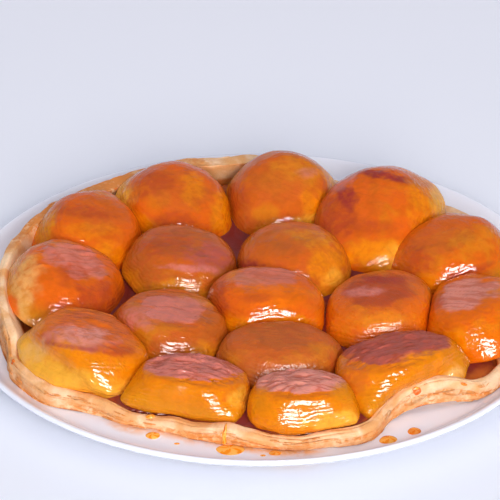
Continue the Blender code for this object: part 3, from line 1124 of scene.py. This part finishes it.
@dataclass
class PastryCase:
    """The flaky case, with its turned-up edge read from the frame and drawn in to the halves."""

    node: bpy.types.Object
    halves: list[bpy.types.Object]
    middle: Vector = field(default_factory=TART_MIDDLE.copy)
    frame_stations: int = 96  # sections of the frame's edge, evenly spaced
    stations: int = 768  # sections here
    layer_pitch: float = 2.3 * MM  # spacing of the flaky layers up its side
    layer_depth: float = 0.5 * MM
    slump: float = 0.9 * MM  # depth of its broad dents
    slump_size: float = 16 * MM
    crust: float = 2.8 * MM  # thickness under the halves
    draw_in: float = 7.5 * MM  # the furthest that the edge leans in to touch a half
    sight: float = 60 * MM  # how far in it looks for one
    loose_side: float = 190.0  # bearing where it stands away from them, in degrees
    loose_width: float = 38.0
    browned_side: float = 138.0  # bearing where it baked darkest, in degrees
    browned_width: float = 32.0
    softness: float = 1.0  # spread of the smoothing along the edge, in degrees
    fillet: float = 11 * MM  # how far its foot slopes in there
    bottom: float = field(init=False)  # heights of the case's underside and of its floor
    top: float = field(init=False)
    surface: np.ndarray = field(init=False)  # places, by station and by point of the section
    facing: np.ndarray = field(init=False)  # normals, likewise
    foot_line: np.ndarray = field(init=False)  # radius of the edge's inner face at its foot
    inner: np.ndarray = field(init=False)  # the same at its crown
    outer: np.ndarray = field(init=False)  # radius of its outer face
    crown: np.ndarray = field(init=False)  # height of the edge's crown
    lift: np.ndarray = field(init=False)  # how far its foot stands off the plate

    def build(self) -> bpy.types.Object:
        """Model the case and dress it.

        Returns:
            The finished piece.
        """
        self._read_frame()
        crease, soak, bake = self._shape()
        rings = self.surface.shape[1] - 1
        bm = bmesh.new()
        bmesh.ops.create_uvsphere(bm, u_segments=self.stations, v_segments=rings, radius=1.0)
        bm.verts.index_update()
        order = []
        for vert in bm.verts:
            ring = round(math.acos(min(max(vert.co.z, -1.0), 1.0)) / math.pi * rings)
            station = round(math.atan2(vert.co.y, vert.co.x) / math.tau * self.stations) % self.stations
            vert.co = self.surface[station, ring]
            order.append((station, ring))
        piece = mesh_object("flaky_pastry_case", bm)
        picked = tuple(np.array(order).T)
        for name, values in (("crease", crease), ("soak", soak), ("bake", bake)):
            write_attribute(piece.data, name, values[picked])
        finish_piece(piece, BakedPastry().build(), "baked_pastry", self.node.name)
        return piece

    def _read_frame(self) -> None:
        """Read the edge's inner and outer radius, crown and lift at each of the frame's stations."""
        bm = merged_copy(self.node)
        self.bottom = min(vert.co.z for vert in bm.verts)
        self.top = self.bottom + self.crust
        rows: list[list[tuple[float, float]]] = [[] for _ in range(self.frame_stations)]
        for vert in bm.verts:
            spot = vert.co - self.middle
            if spot.xy.length > 1 * MM:
                turn = math.atan2(spot.y, spot.x) / math.tau * self.frame_stations
                rows[round(turn) % self.frame_stations].append((spot.xy.length, spot.z))
        bm.free()
        outer = [max(radius for radius, _ in row) - 0.5 * MM for row in rows]
        crown = [max(height for _, height in row) for row in rows]
        inner = [min(r for r, z in row if z > top - 2.2 * MM) for row, top in zip(rows, crown)]
        lift = [min(z for r, z in row if r > edge - 2.2 * MM) - self.bottom for row, edge in zip(rows, outer)]
        self.inner, self.outer, self.crown, self.lift = (
            periodic(np.array(values), self.stations) for values in (inner, outer, crown, lift)
        )
        told = self._lay_front_edge()
        self.foot_line = self.inner - self.fillet * self.looseness_at(self._bearings(self.stations))
        self.inner = self.inner - self._lean() * (1 - told)

    def _lay_front_edge(self) -> np.ndarray:
        """Follow the front edge's own line where it is told.

        Returns:
            How far each station follows it, from 0 to 1.
        """
        bearings = self._bearings(self.stations)
        first, last = FRONT_EDGE[0].bearing, FRONT_EDGE[-1].bearing
        told = smoothstep(bearings, first - 6, first) * smoothstep(bearings, last + 6, last)
        stops = [point.bearing for point in FRONT_EDGE]
        waves = np.arange(self.stations // 2 + 1)
        soften = np.exp(-2 * (math.pi * waves * self.softness / 360) ** 2)
        for name in ("inner", "outer", "crown", "lift"):
            line = np.interp(bearings, stops, [getattr(point, name) for point in FRONT_EDGE]) * MM
            mixed = getattr(self, name) * (1 - told) + line * told
            setattr(self, name, np.fft.irfft(np.fft.rfft(mixed) * soften, self.stations))
        self.lift = np.maximum(self.lift, 0.0)
        for wave in BACK_CROWN:
            away = (bearings - wave.bearing + 180) % 360 - 180
            self.crown += np.exp(-((away / wave.spread) ** 2)) * wave.rise * MM
        return told

    def _lean(self) -> np.ndarray:
        """Find how far the edge's crown leans in to touch the halves.

        Returns:
            The lean at each station.
        """
        trees = [BVHTree.FromObject(half, bpy.context.evaluated_depsgraph_get()) for half in self.halves]
        gaps = []
        for station in range(0, self.stations, 8):
            turn = station / self.stations * math.tau
            outward = Vector((math.cos(turn), math.sin(turn), 0.0))
            start = self.middle + outward * self.outer[station]
            start.z = self.crown[station] - 0.5 * MM
            hits = (tree.ray_cast(start, -outward, self.sight)[3] for tree in trees)
            nearest = min((hit for hit in hits if hit is not None), default=self.sight)
            gaps.append(self.inner[station] - (self.outer[station] - nearest))
        lean = np.clip(np.array(gaps) + 2.2 * MM, 0.0, self.draw_in)
        lean = (np.roll(lean, 1) + 2 * lean + np.roll(lean, -1)) / 4
        lean *= 1 - 0.85 * self.looseness_at(self._bearings(len(lean)))
        return periodic(lean, self.stations)

    @staticmethod
    def _bearings(stations: int) -> np.ndarray:
        """The bearings of evenly spaced stations, in degrees from -180 to 180."""
        return (np.arange(stations) * 360 / stations + 180) % 360 - 180

    def looseness_at(self, bearings: np.ndarray) -> np.ndarray:
        """How much the edge stands away from the halves at bearings in degrees, from 0 to 1."""
        away = (bearings - self.loose_side + 180) % 360 - 180
        return np.exp(-((away / self.loose_width) ** 4))

    def _section(self) -> tuple[np.ndarray, np.ndarray]:
        """The case's section at each station, as a smooth line.

        Returns:
            Radius and height by station and point, and each point's place along the edge from 0 at the
            foot of its inner face to 1 at the foot of its outer face.
        """
        inner, outer, crown, lift = self.inner, self.outer, self.crown, self.lift
        foot = self.foot_line
        level = np.ones_like(inner)
        wall = crown - self.bottom - lift
        knots = (
            (0 * level, self.top * level),
            (foot * 0.45, self.top * level),
            (foot * 0.9, self.top * level),
            (foot - 0.4 * MM, self.top + lift + 0.6 * MM),
            ((foot + inner) / 2 + 0.1 * MM, crown - wall * 0.45),
            (inner + 0.3 * MM, crown - 0.8 * MM),
            (inner + 1.7 * MM, crown + 0.3 * MM),
            (outer - 2.1 * MM, crown + 0.1 * MM),
            (outer - 0.4 * MM, crown - 1.0 * MM),
            (outer + 0.3 * MM, crown - wall * 0.35),
            (outer + 0.2 * MM, crown - wall * 0.7),
            (outer - 0.4 * MM, self.bottom + lift + 0.9 * MM),
            (outer - 2.2 * MM, self.bottom + lift),
            (foot * 0.9, self.bottom * level),
            (foot * 0.45, self.bottom * level),
            (0 * level, self.bottom * level),
        )
        steps = (2, 3, 5, 5, 5, 5, 6, 6, 7, 7, 6, 5, 3, 3, 2)  # points from each knot to the next
        first, span = 3, 9  # the knot where the edge starts, and how many it takes
        points = np.array(knots).transpose(2, 0, 1)
        padded = np.concatenate((points[:, :1], points, points[:, -1:]), axis=1)
        rows = []
        places = []
        for gap, count in enumerate(steps):
            before, start, end, after = (padded[:, gap + k] for k in range(4))
            for step in range(count):
                t = step / count
                tangent_in, tangent_out = (end - before) * 0.5, (after - start) * 0.5
                rows.append(
                    start * (2 * t**3 - 3 * t**2 + 1)
                    + tangent_in * (t**3 - 2 * t**2 + t)
                    + end * (3 * t**2 - 2 * t**3)
                    + tangent_out * (t**3 - t**2)
                )
                places.append((gap + t - first) / span)
        rows.append(points[:, -1])
        places.append((len(steps) - first) / span)
        section = np.stack(rows, axis=1)
        section[:, 0, 0] = 0.0
        return section, np.array(places)

    def _shape(self) -> tuple[np.ndarray, np.ndarray, np.ndarray]:
        """Work out the case's surface with its slumps and layers.

        Returns:
            How much painted shade each point takes in a crease and along the foot, how soaked with caramel
            and how browned it is.
        """
        section, places = self._section()
        steps = np.linalg.norm(np.diff(section, axis=1), axis=2)
        along = np.concatenate((np.zeros((len(section), 1)), np.cumsum(steps, axis=1)), axis=1)
        along -= along[:, places.searchsorted(0.3)][:, None]
        bearings = np.arange(self.stations) / self.stations * math.tau
        round_line = np.stack((np.cos(bearings), np.sin(bearings)), axis=1)
        flat = np.concatenate(
            (section[:, :, :1] * round_line[:, None, :] + np.array(self.middle.xy), section[:, :, 1:]), axis=2
        )
        shape = flat.shape[:2]
        edge = (smoothstep(places, 0.05, 0.25) * smoothstep(places, 1.02, 0.9))[None, :]
        slump = noise_at(flat.reshape(-1, 3), self.slump_size, 3.0, 2).reshape(shape) * self.slump
        facing = self._normals(flat)
        flat = flat + facing * (slump * edge)[:, :, None]

        circle = np.column_stack((round_line, np.zeros(self.stations))) * self.inner.mean()
        drift = noise_at(circle, 60 * MM, 8.0, 1)[:, None]
        phase = along / self.layer_pitch + drift * 1.8
        ridge = np.abs(phase % 1.0 - 0.5) * 2
        layer = np.stack(
            (*(np.broadcast_to(circle[:, k, None], shape) for k in (0, 1)), np.floor(phase) * 90 * MM), axis=2
        )
        patch = smoothstep(noise_at(layer.reshape(-1, 3), 26 * MM, 14.0, 1).reshape(shape), -0.15, 0.35)
        outside = smoothstep(places, 0.22, 0.4)[None, :] * edge
        depth = (1 - ridge) ** 3 * patch * outside
        grit = noise_at(flat.reshape(-1, 3), 2.4 * MM, 21.0, 2).reshape(shape) * 0.16 * MM
        self.facing = self._normals(flat)
        self.surface = flat + self.facing * ((grit - depth * self.layer_depth * 1.6) * edge)[:, :, None]
        self.surface[:, 0] = self.surface[:, 0].mean(axis=0)
        self.surface[:, -1] = self.surface[:, -1].mean(axis=0)

        worn = smoothstep(noise_at(circle, 18 * MM, 17.0, 3), -0.5, 0.3)[:, None]
        # painted shade: the layers' creases and a line along the outer foot are darkened in colour, partly as
        # browned edges
        crease = np.maximum(depth, smoothstep(places, 0.84, 0.94)[None, :] * (0.55 + 0.45 * worn))
        soak = smoothstep(places, 0.42, 0.2)[None, :] * smoothstep(flat[:, :, 2], 24 * MM, 15 * MM)
        bake = smoothstep(places, 0.5, 0.78)[None, :] * (0.55 + 0.45 * patch)
        away = (np.degrees(bearings) - self.browned_side + 180) % 360 - 180
        browned = np.exp(-((away / self.browned_width) ** 4))[:, None]
        bake = np.maximum(bake, browned * smoothstep(places, 0.1, 0.3)[None, :] * (0.9 + 0.6 * worn))
        return crease, soak, bake

    @staticmethod
    def _normals(surface: np.ndarray) -> np.ndarray:
        """The outward normals of a surface told by station and section point.

        Args:
            surface: The places, by station and point.

        Returns:
            The unit normals, likewise.
        """
        round_way = np.roll(surface, -1, axis=0) - np.roll(surface, 1, axis=0)
        down_way = np.gradient(surface, axis=1)
        normals = np.cross(down_way, round_way)
        length = np.linalg.norm(normals, axis=2, keepdims=True)
        return normals / np.maximum(length, 1e-12)

    def at(self, bearing: float, place: float) -> tuple[Vector, Vector]:
        """A point on the case and its outward normal.

        Args:
            bearing: Direction from the tart's middle, in degrees from +X.
            place: Share of the way from the foot of the inner face over the crown to the foot outside.

        Returns:
            The point and the normal.
        """
        _, places = self._section()
        turn = bearing / 360 * self.stations
        low = math.floor(turn)
        share = turn - low
        found = []
        for grid in (self.surface, self.facing):
            rows = [
                np.array([np.interp(place, places, grid[k % self.stations, :, axis]) for axis in range(3)])
                for k in (low, low + 1)
            ]
            found.append(Vector(rows[0] * (1 - share) + rows[1] * share))
        return found[0], found[1].normalized()

    def inner_at(self, bearings: np.ndarray) -> np.ndarray:
        """The radius of the edge's inner face, at its crown, at bearings in radians."""
        return self._round_the_case(self.inner, bearings)

    def crown_at(self, bearings: np.ndarray) -> np.ndarray:
        """The height of the edge's crown at bearings in radians."""
        return self._round_the_case(self.crown, bearings)

    def inside(self, points: np.ndarray) -> tuple[np.ndarray, np.ndarray]:
        """Place points against the edge.

        Args:
            points: The places, one row each.

        Returns:
            Their bearings, in radians, and how far inside the edge's crown they lie.
        """
        spot = points - np.array(self.middle)
        bearings = np.arctan2(spot[:, 1], spot[:, 0])
        return bearings, self.inner_at(bearings) - np.hypot(spot[:, 0], spot[:, 1])

    def _round_the_case(self, values: np.ndarray, bearings: np.ndarray) -> np.ndarray:
        """Interpolate values by station at bearings in radians."""
        turns = (bearings / math.tau * self.stations) % self.stations
        return np.interp(turns, np.arange(self.stations + 1), np.append(values, values[0]))


# Caramel between the halves


@dataclass
class CaramelPool:
    """Caramel that fills the gaps between the halves and creeps up their sides."""

    node: bpy.types.Object
    case: PastryCase
    halves: list[bpy.types.Object]
    spacing: float = 1.1 * MM  # between the grid's lines
    level: float = 2.6 * MM  # over the halves' feet
    creep: float = 2.2 * MM  # how far it climbs a half's side
    creep_width: float = 1.3 * MM
    search: float = 6 * MM  # how far round a half it is told from that half
    hidden: float = 3.0 * MM  # how far it goes on under a half
    brim: float = 2.4 * MM  # how far under the pastry's crown it stays
    pocket: float = -37.0  # bearing of the open corner where it lies thin on the pastry, in degrees
    pocket_width: float = 7.0

    def build(self) -> bpy.types.Object:
        """Model the pool and dress it.

        Returns:
            The finished piece.
        """
        low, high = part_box(self.node.name)
        radius = float(self.case.inner.max()) + 1 * MM
        count = int(2 * radius / self.spacing)
        bm = bmesh.new()
        bmesh.ops.create_grid(bm, x_segments=count, y_segments=count, size=radius)
        bmesh.ops.translate(bm, verts=bm.verts, vec=self.case.middle + Vector((0, 0, high.z)))
        self._raise(bm, high.z + self.level)
        buried = [vert for vert in bm.verts if vert.co.z < high.z]
        bmesh.ops.delete(bm, geom=buried, context="VERTS")
        loose = [vert for vert in bm.verts if not vert.link_faces]
        bmesh.ops.delete(bm, geom=loose, context="VERTS")
        made = bmesh.ops.extrude_face_region(bm, geom=list(bm.faces))
        for vert in (part for part in made["geom"] if isinstance(part, bmesh.types.BMVert)):
            vert.co.z = low.z
        bmesh.ops.recalc_face_normals(bm, faces=bm.faces)
        piece = mesh_object("caramel_pool", bm)
        write_attribute(piece.data, "thin", self._thinness(points_of(piece.data)))
        finish_piece(piece, DarkCaramel().build(), "caramel", self.node.name)
        return piece

    def _raise(self, bm: bmesh.types.BMesh, level: float) -> None:
        """Set each vertex to the caramel's height there, or far down where a half or the case is.

        Args:
            bm: The flat grid.
            level: The caramel's height away from the halves.
        """
        trees = [BVHTree.FromObject(half, bpy.context.evaluated_depsgraph_get()) for half in self.halves]
        boxes = [(points_of(half.data).min(0), points_of(half.data).max(0)) for half in self.halves]
        points = np.array([vert.co[:] for vert in bm.verts])
        bearings, rim = self.case.inside(points)
        nearest = rim + 0.3 * MM
        for tree, (low, high) in zip(trees, boxes):
            low, high = low[:2] - self.search, high[:2] + self.search
            close = np.all((points[:, :2] > low) & (points[:, :2] < high), axis=1)
            for index in np.nonzero(close)[0]:
                place = Vector((points[index, 0], points[index, 1], level))
                found, normal, _, distance = tree.find_nearest(place)
                signed = distance if (place - found).dot(normal) > 0 else -distance
                nearest[index] = min(nearest[index], signed)
        wave = noise_at(points, 14 * MM, 31.0) * 0.25 * MM
        height = level + self.creep * np.exp(-np.maximum(nearest, 0.0) / self.creep_width) + wave
        brim = self.case.crown_at(bearings) - self.brim
        height = np.minimum(height, brim + np.maximum(rim - 1 * MM, 0.0) * 0.6)
        far_down = -1.0
        height[(nearest < -self.hidden) | (rim < -3 * MM)] = far_down
        for vert, z in zip(bm.verts, height):
            vert.co.z = z

    def _thinness(self, points: np.ndarray) -> np.ndarray:
        """How thin the caramel lies over the pastry.

        Args:
            points: The pool's places, one row each.

        Returns:
            From 0 where it is deep to 1 where the pastry shows through.
        """
        bearings, rim = self.case.inside(points)
        bearings = np.degrees(bearings)
        pocket = np.exp(-(((bearings - self.pocket) / self.pocket_width) ** 2))
        shallow = 0.15 + 0.85 * np.maximum(self.case.looseness_at(bearings), pocket)
        return np.maximum(smoothstep(rim, 15 * MM, 3 * MM) * shallow, smoothstep(rim, 4 * MM, 1 * MM) * 0.7)


# Syrup outside the case


@dataclass(frozen=True)
class Drop:
    """A drop of syrup on the plate; sizes in mm."""

    bearing: float  # degrees, from the tart's middle
    reach: float  # distance from it
    length: float
    width: float
    height: float
    red: float = 0.0  # how red it is, to 1


@dataclass(frozen=True)
class Run:
    """Syrup on the pastry, from one place of its section to another; sizes in mm."""

    bearing: float  # degrees, from the tart's middle
    start: float  # places from 0 inside to 1 outside, as PastryCase.at tells them
    end: float
    width: float
    thick: float
    foot_width: float
    red: float = 0.0  # how red it is, to 1


@dataclass
class Syrup:
    """The drops on the plate and the runs over the pastry's edge."""

    case: PastryCase
    plate_floor: float
    drops: tuple[Drop, ...] = (
        Drop(-116.0, 132.2, 7.2, 6.6, 0.9),
        Drop(-98.5, 132.5, 14.0, 10.0, 1.2),
        Drop(-89.0, 133.7, 6.4, 5.0, 0.8, 0.2),
        Drop(-91.5, 136.0, 3.0, 2.2, 0.4),
        Drop(-64.6, 135.3, 9.6, 8.4, 1.5, 0.1),
        Drop(-58.1, 134.6, 7.0, 7.0, 1.5, 0.45),
        Drop(-110.0, 134.0, 3.0, 1.8, 0.4),
    )
    runs: tuple[Run, ...] = (
        Run(-118.0, 0.28, 0.50, 4.5, 0.9, 5.0, 0.1),
        Run(-100.0, 0.36, 0.98, 2.0, 0.8, 4.0, 0.0),
        Run(-53.5, 0.50, 0.66, 4.0, 0.5, 5.0, 0.8),
        Run(-43.0, 0.55, 0.62, 3.0, 0.4, 3.0, 0.5),
        Run(-152.0, 0.45, 0.60, 3.0, 0.5, 3.0, 0.7),
    )
    segments: int = 24

    def build(self) -> bpy.types.Object:
        """Model all the syrup as one piece and dress it.

        Returns:
            The finished piece.
        """
        bm = bmesh.new()
        thick: list[float] = []
        red: list[float] = []
        for drop in self.drops:
            self._add_drop(bm, drop, thick, red)
        for run in self.runs:
            self._add_run(bm, run, thick, red)
        piece = mesh_object("syrup_drops", bm)
        write_attribute(piece.data, "thick", np.array(thick))
        write_attribute(piece.data, "red", np.array(red))
        finish_piece(piece, RunnySyrup().build(), "caramel")
        return piece

    def _ball(self, bm: bmesh.types.BMesh) -> list[bmesh.types.BMVert]:
        """Add a unit ball and return its vertices."""
        return bmesh.ops.create_uvsphere(bm, u_segments=self.segments, v_segments=12, radius=1.0)["verts"]

    def _add_drop(self, bm: bmesh.types.BMesh, drop: Drop, thick: list[float], red: list[float]) -> None:
        """Add one flat-bottomed drop with an uneven outline.

        Args:
            bm: The syrup's mesh.
            drop: The drop.
            thick: How thick the syrup is at each vertex so far, added to.
            red: How red it is, likewise.
        """
        angle = math.radians(drop.bearing)
        place = Vector((math.cos(angle), math.sin(angle), 0)) * drop.reach * MM + self.case.middle
        place.z = self.plate_floor
        for vert in self._ball(bm):
            side = math.atan2(vert.co.y, vert.co.x)
            uneven = 1 + 0.1 * noise.noise(Vector((math.cos(side), math.sin(side), drop.bearing)))
            rise = max(vert.co.z, -0.15)
            thick.append(rise * 1.4)
            red.append(drop.red)
            spread = uneven * (1 - 0.12 * max(vert.co.z, 0.0))
            lying = Vector((vert.co.x * drop.length / 2 * spread, vert.co.y * drop.width / 2 * spread, 0.0))
            vert.co = place + lying * MM + Vector((0, 0, rise * drop.height * MM))

    def _add_run(self, bm: bmesh.types.BMesh, run: Run, thick: list[float], red: list[float]) -> None:
        """Add one run that clings to the pastry.

        Args:
            bm: The syrup's mesh.
            run: The run.
            thick: How thick the syrup is at each vertex so far, added to.
            red: How red it is, likewise.
        """
        for vert in self._ball(bm):
            way = (1 - vert.co.y) / 2
            place = run.start + (run.end - run.start) * way
            width = run.width + (run.foot_width - run.width) * way**3
            radius = self.case.inner.mean()
            wander = noise.noise(Vector((way * 3, run.bearing, 0))) * 0.8
            bearing = run.bearing + math.degrees((vert.co.x * width / 2 + wander) * MM / radius)
            spot, normal = self.case.at(bearing, place)
            thick.append(max(vert.co.z, 0.0))
            red.append(run.red)
            vert.co = spot + normal * (vert.co.z * run.thick * MM)


# Flakes


@dataclass
class Flakes:
    """Loose sheets of pastry that lift off the edge."""

    case: PastryCase
    count: int = 120
    seed: int = 12
    thickness: float = 0.22 * MM

    def build(self) -> bpy.types.Object:
        """Model the flakes as one piece and dress it.

        Returns:
            The finished piece.
        """
        rng = random.Random(self.seed)
        bm = bmesh.new()
        for _ in range(self.count):
            self._add_flake(bm, rng)
        bmesh.ops.solidify(bm, geom=bm.faces, thickness=self.thickness)
        bmesh.ops.recalc_face_normals(bm, faces=bm.faces)
        piece = mesh_object("pastry_flakes", bm)
        for name, amount in (("crease", 0.0), ("soak", 0.1), ("bake", 0.8)):
            write_attribute(piece.data, name, np.full(len(piece.data.vertices), amount))
        finish_piece(piece, BakedPastry().build(), "baked_pastry")
        return piece

    def _add_flake(self, bm: bmesh.types.BMesh, rng: random.Random) -> None:
        """Add one thin curled sheet that lies along the edge.

        Args:
            bm: The flakes' mesh.
            rng: Where its chances come from.
        """
        bearing = rng.uniform(-180, 180)
        place = rng.choice((rng.uniform(0.5, 0.75), rng.uniform(0.6, 0.95)))
        length, width = rng.uniform(4, 14) * MM, rng.uniform(0.5, 1.2) * MM
        lift, curl = rng.uniform(0.05, 0.25) * MM, rng.uniform(0.1, 0.5) * MM
        radius = self.case.inner.mean()
        made = bmesh.ops.create_grid(bm, x_segments=6, y_segments=2, size=1.0)
        for vert in made["verts"]:
            along, across = vert.co.x, vert.co.y
            taper = 1 - 0.75 * along**2
            ragged = 1 + 0.25 * noise.noise(Vector((along * 2, across, bearing)))
            turn = bearing + math.degrees(along * length / 2 / radius)
            spot, normal = self.case.at(turn, place + across * width * taper * ragged / (24 * MM))
            vert.co = spot + normal * (lift + curl * max(across, 0.0) * taper)


# Plate


@dataclass
class ServingPlate:
    """The plate, turned from a fine profile of the frame's size."""

    node: bpy.types.Object
    case: PastryCase
    floor: float = 7 * MM
    flat: float = 146 * MM  # radius of its level floor
    body: float = 4.5 * MM  # thickness
    foot: float = 98 * MM  # outer radius of the foot ring
    foot_width: float = 8 * MM
    segments: int = 96

    def build(self) -> bpy.types.Object:
        """Model the plate and dress it.

        Returns:
            The finished piece.
        """
        low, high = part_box(self.node.name)
        radius, top = high.x, high.z
        under = self.floor - self.body
        inside = self.foot - self.foot_width
        outline = (
            (0.0, self.floor),
            (self.flat * 0.5, self.floor),
            (self.flat * 0.96, self.floor),
            (self.flat, self.floor + 0.15 * MM),
            (self.flat + 4 * MM, self.floor + 1.6 * MM),
            (radius - 5 * MM, top - 2.0 * MM),
            (radius - 2.4 * MM, top - 0.1 * MM),
            (radius - 0.8 * MM, top),
            (radius, top - 1.1 * MM),
            (radius - 0.6 * MM, top - 3.0 * MM),
            (self.flat + 3 * MM, self.floor - 2.6 * MM),
            (self.foot + 6 * MM, under),
            (self.foot + 1 * MM, under - 0.3 * MM),
            (self.foot, low.z + 0.4 * MM),
            (self.foot - 0.6 * MM, low.z),
            (inside + 0.6 * MM, low.z),
            (inside, low.z + 0.4 * MM),
            (inside - 1 * MM, under - 0.3 * MM),
            (inside - 6 * MM, under),
            (0.0, under),
        )
        bm = bmesh.new()
        verts = [bm.verts.new((reach, 0.0, height)) for reach, height in outline]
        edges = [bm.edges.new(pair) for pair in zip(verts, verts[1:])]
        bmesh.ops.spin(
            bm,
            geom=verts + edges,
            cent=(0, 0, 0),
            axis=(0, 0, 1),
            angle=math.tau,
            steps=self.segments,
            use_merge=True,
        )
        bmesh.ops.remove_doubles(bm, verts=bm.verts, dist=0.01 * MM)
        bmesh.ops.recalc_face_normals(bm, faces=bm.faces)
        piece = mesh_object("glazed_plate", bm)
        rounder = piece.modifiers.new("rounded", "SUBSURF")
        rounder.levels = 2
        rounder.render_levels = 2
        apply_modifiers(piece)
        write_attribute(piece.data, "seep", self._seep(points_of(piece.data)))
        finish_piece(piece, Porcelain().build(), "white_glaze", self.node.name)
        return piece

    def _seep(self, points: np.ndarray) -> np.ndarray:
        """Where syrup has seeped out from under the pastry, in front.

        Args:
            points: The plate's places, one row each.

        Returns:
            From 0 for a bare plate to 0.8 beside the pastry.
        """
        bearings, rim = self.case.inside(points)
        outside = -rim - 6 * MM
        front = smoothstep(np.degrees(bearings), -135, -120) * smoothstep(np.degrees(bearings), -70, -85)
        return front * smoothstep(outside, 8 * MM, 0.0) * 0.8


# Studio


@dataclass(frozen=True)
class Softbox:
    """A rectangular light that faces the tart; metres and watts."""

    name: str
    place: tuple[float, float, float]
    size: tuple[float, float]
    power: float
    colour: tuple[float, float, float] = (0.89, 0.91, 1.0)
    mirrored: bool = True  # whether gloss reflects it
    lit: bool = True  # whether it lights dull surfaces

    def build(self, target: Vector) -> None:
        """Add the light, turned to a target."""
        light = bpy.data.lights.new(self.name, "AREA")
        light.shape = "RECTANGLE"
        light.size, light.size_y = self.size
        light.energy = self.power
        light.color = self.colour
        made = bpy.data.objects.new(self.name, light)
        made.location = self.place
        made.rotation_euler = (target - made.location).to_track_quat("-Z", "Y").to_euler()
        made.visible_glossy = self.mirrored
        made.visible_diffuse = self.lit
        bpy.context.scene.collection.objects.link(made)


WARM = (1.0, 0.98, 0.96)


@dataclass
class Studio:
    """A pale floor, soft light and a long lens from the front, a little above."""

    middle: Vector
    distance: float = 1.45  # from the camera to the middle
    aim: Vector = field(default_factory=lambda: Vector((-0.0057, 0.0595, 0.007)))
    lens: float = 197.0  # focal length, in mm
    table: float = 4.0  # half the floor's width
    sky: Colour = srgb(232, 232, 248)
    sky_strength: float = 0.26
    lights: tuple[Softbox, ...] = (
        Softbox("window", (0.36, -2.2, 0.98), (1.1, 0.9), 55.0, WARM, mirrored=False),
        Softbox("glints", (0.36, -2.2, 1.05), (1.45, 1.35), 330.0, WARM, lit=False),
        Softbox("ceiling", (0.0, 0.3, 2.4), (3.6, 3.6), 36.0, mirrored=False),
        Softbox("back", (0.0, 1.6, 0.36), (3.4, 0.62), 2.0),
    )

    def build(self) -> None:
        """Set up the floor, the lights and the camera."""
        bpy.context.scene.view_settings.view_transform = "Standard"
        self._floor()
        self._sky()
        for light in self.lights:
            light.build(self.middle)
        self._camera()

    def _floor(self) -> None:
        """Lay the table top."""
        bm = bmesh.new()
        bmesh.ops.create_grid(bm, x_segments=8, y_segments=8, size=self.table)
        floor = mesh_object("floor", bm)
        floor.data.materials.append(PaleFloor().build())

    def _sky(self) -> None:
        """Light the scene evenly from all sides."""
        world = bpy.data.worlds.new("soft_room")
        world.use_nodes = True
        backdrop = world.node_tree.nodes["Background"]
        backdrop.inputs["Color"].default_value = self.sky
        backdrop.inputs["Strength"].default_value = self.sky_strength
        bpy.context.scene.world = world

    def _camera(self) -> None:
        """Add the camera."""
        lens = bpy.data.cameras.new("camera")
        lens.lens = self.lens
        lens.clip_end = 10.0
        camera = bpy.data.objects.new("camera", lens)
        away = Vector((0.0, -math.cos(VIEW_RISE), math.sin(VIEW_RISE))) * self.distance
        camera.location = self.middle + away
        camera.rotation_euler = (self.aim - camera.location).to_track_quat("-Z", "Y").to_euler()
        bpy.context.scene.collection.objects.link(camera)
        bpy.context.scene.camera = camera


def main() -> None:
    """Build every piece in order."""
    logging.basicConfig(level=logging.INFO, format="%(name)s: %(message)s")
    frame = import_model()
    nodes = frame["nodes"]
    halves = [
        AppleHalf(nodes[f"apple_half_{number:02d}"], number, look).build()
        for number, look in enumerate(LOOKS, start=1)
    ]
    case = PastryCase(nodes["pastry_case"], halves)
    case.build()
    plate = ServingPlate(nodes["plate"], case)
    plate.build()
    CaramelPool(nodes["caramel_bed"], case, halves).build()
    Syrup(case, plate.floor).build()
    Flakes(case).build()
    Studio(case.middle + Vector((0, 0, plate.floor))).build()


if __name__ == "__main__":
    main()
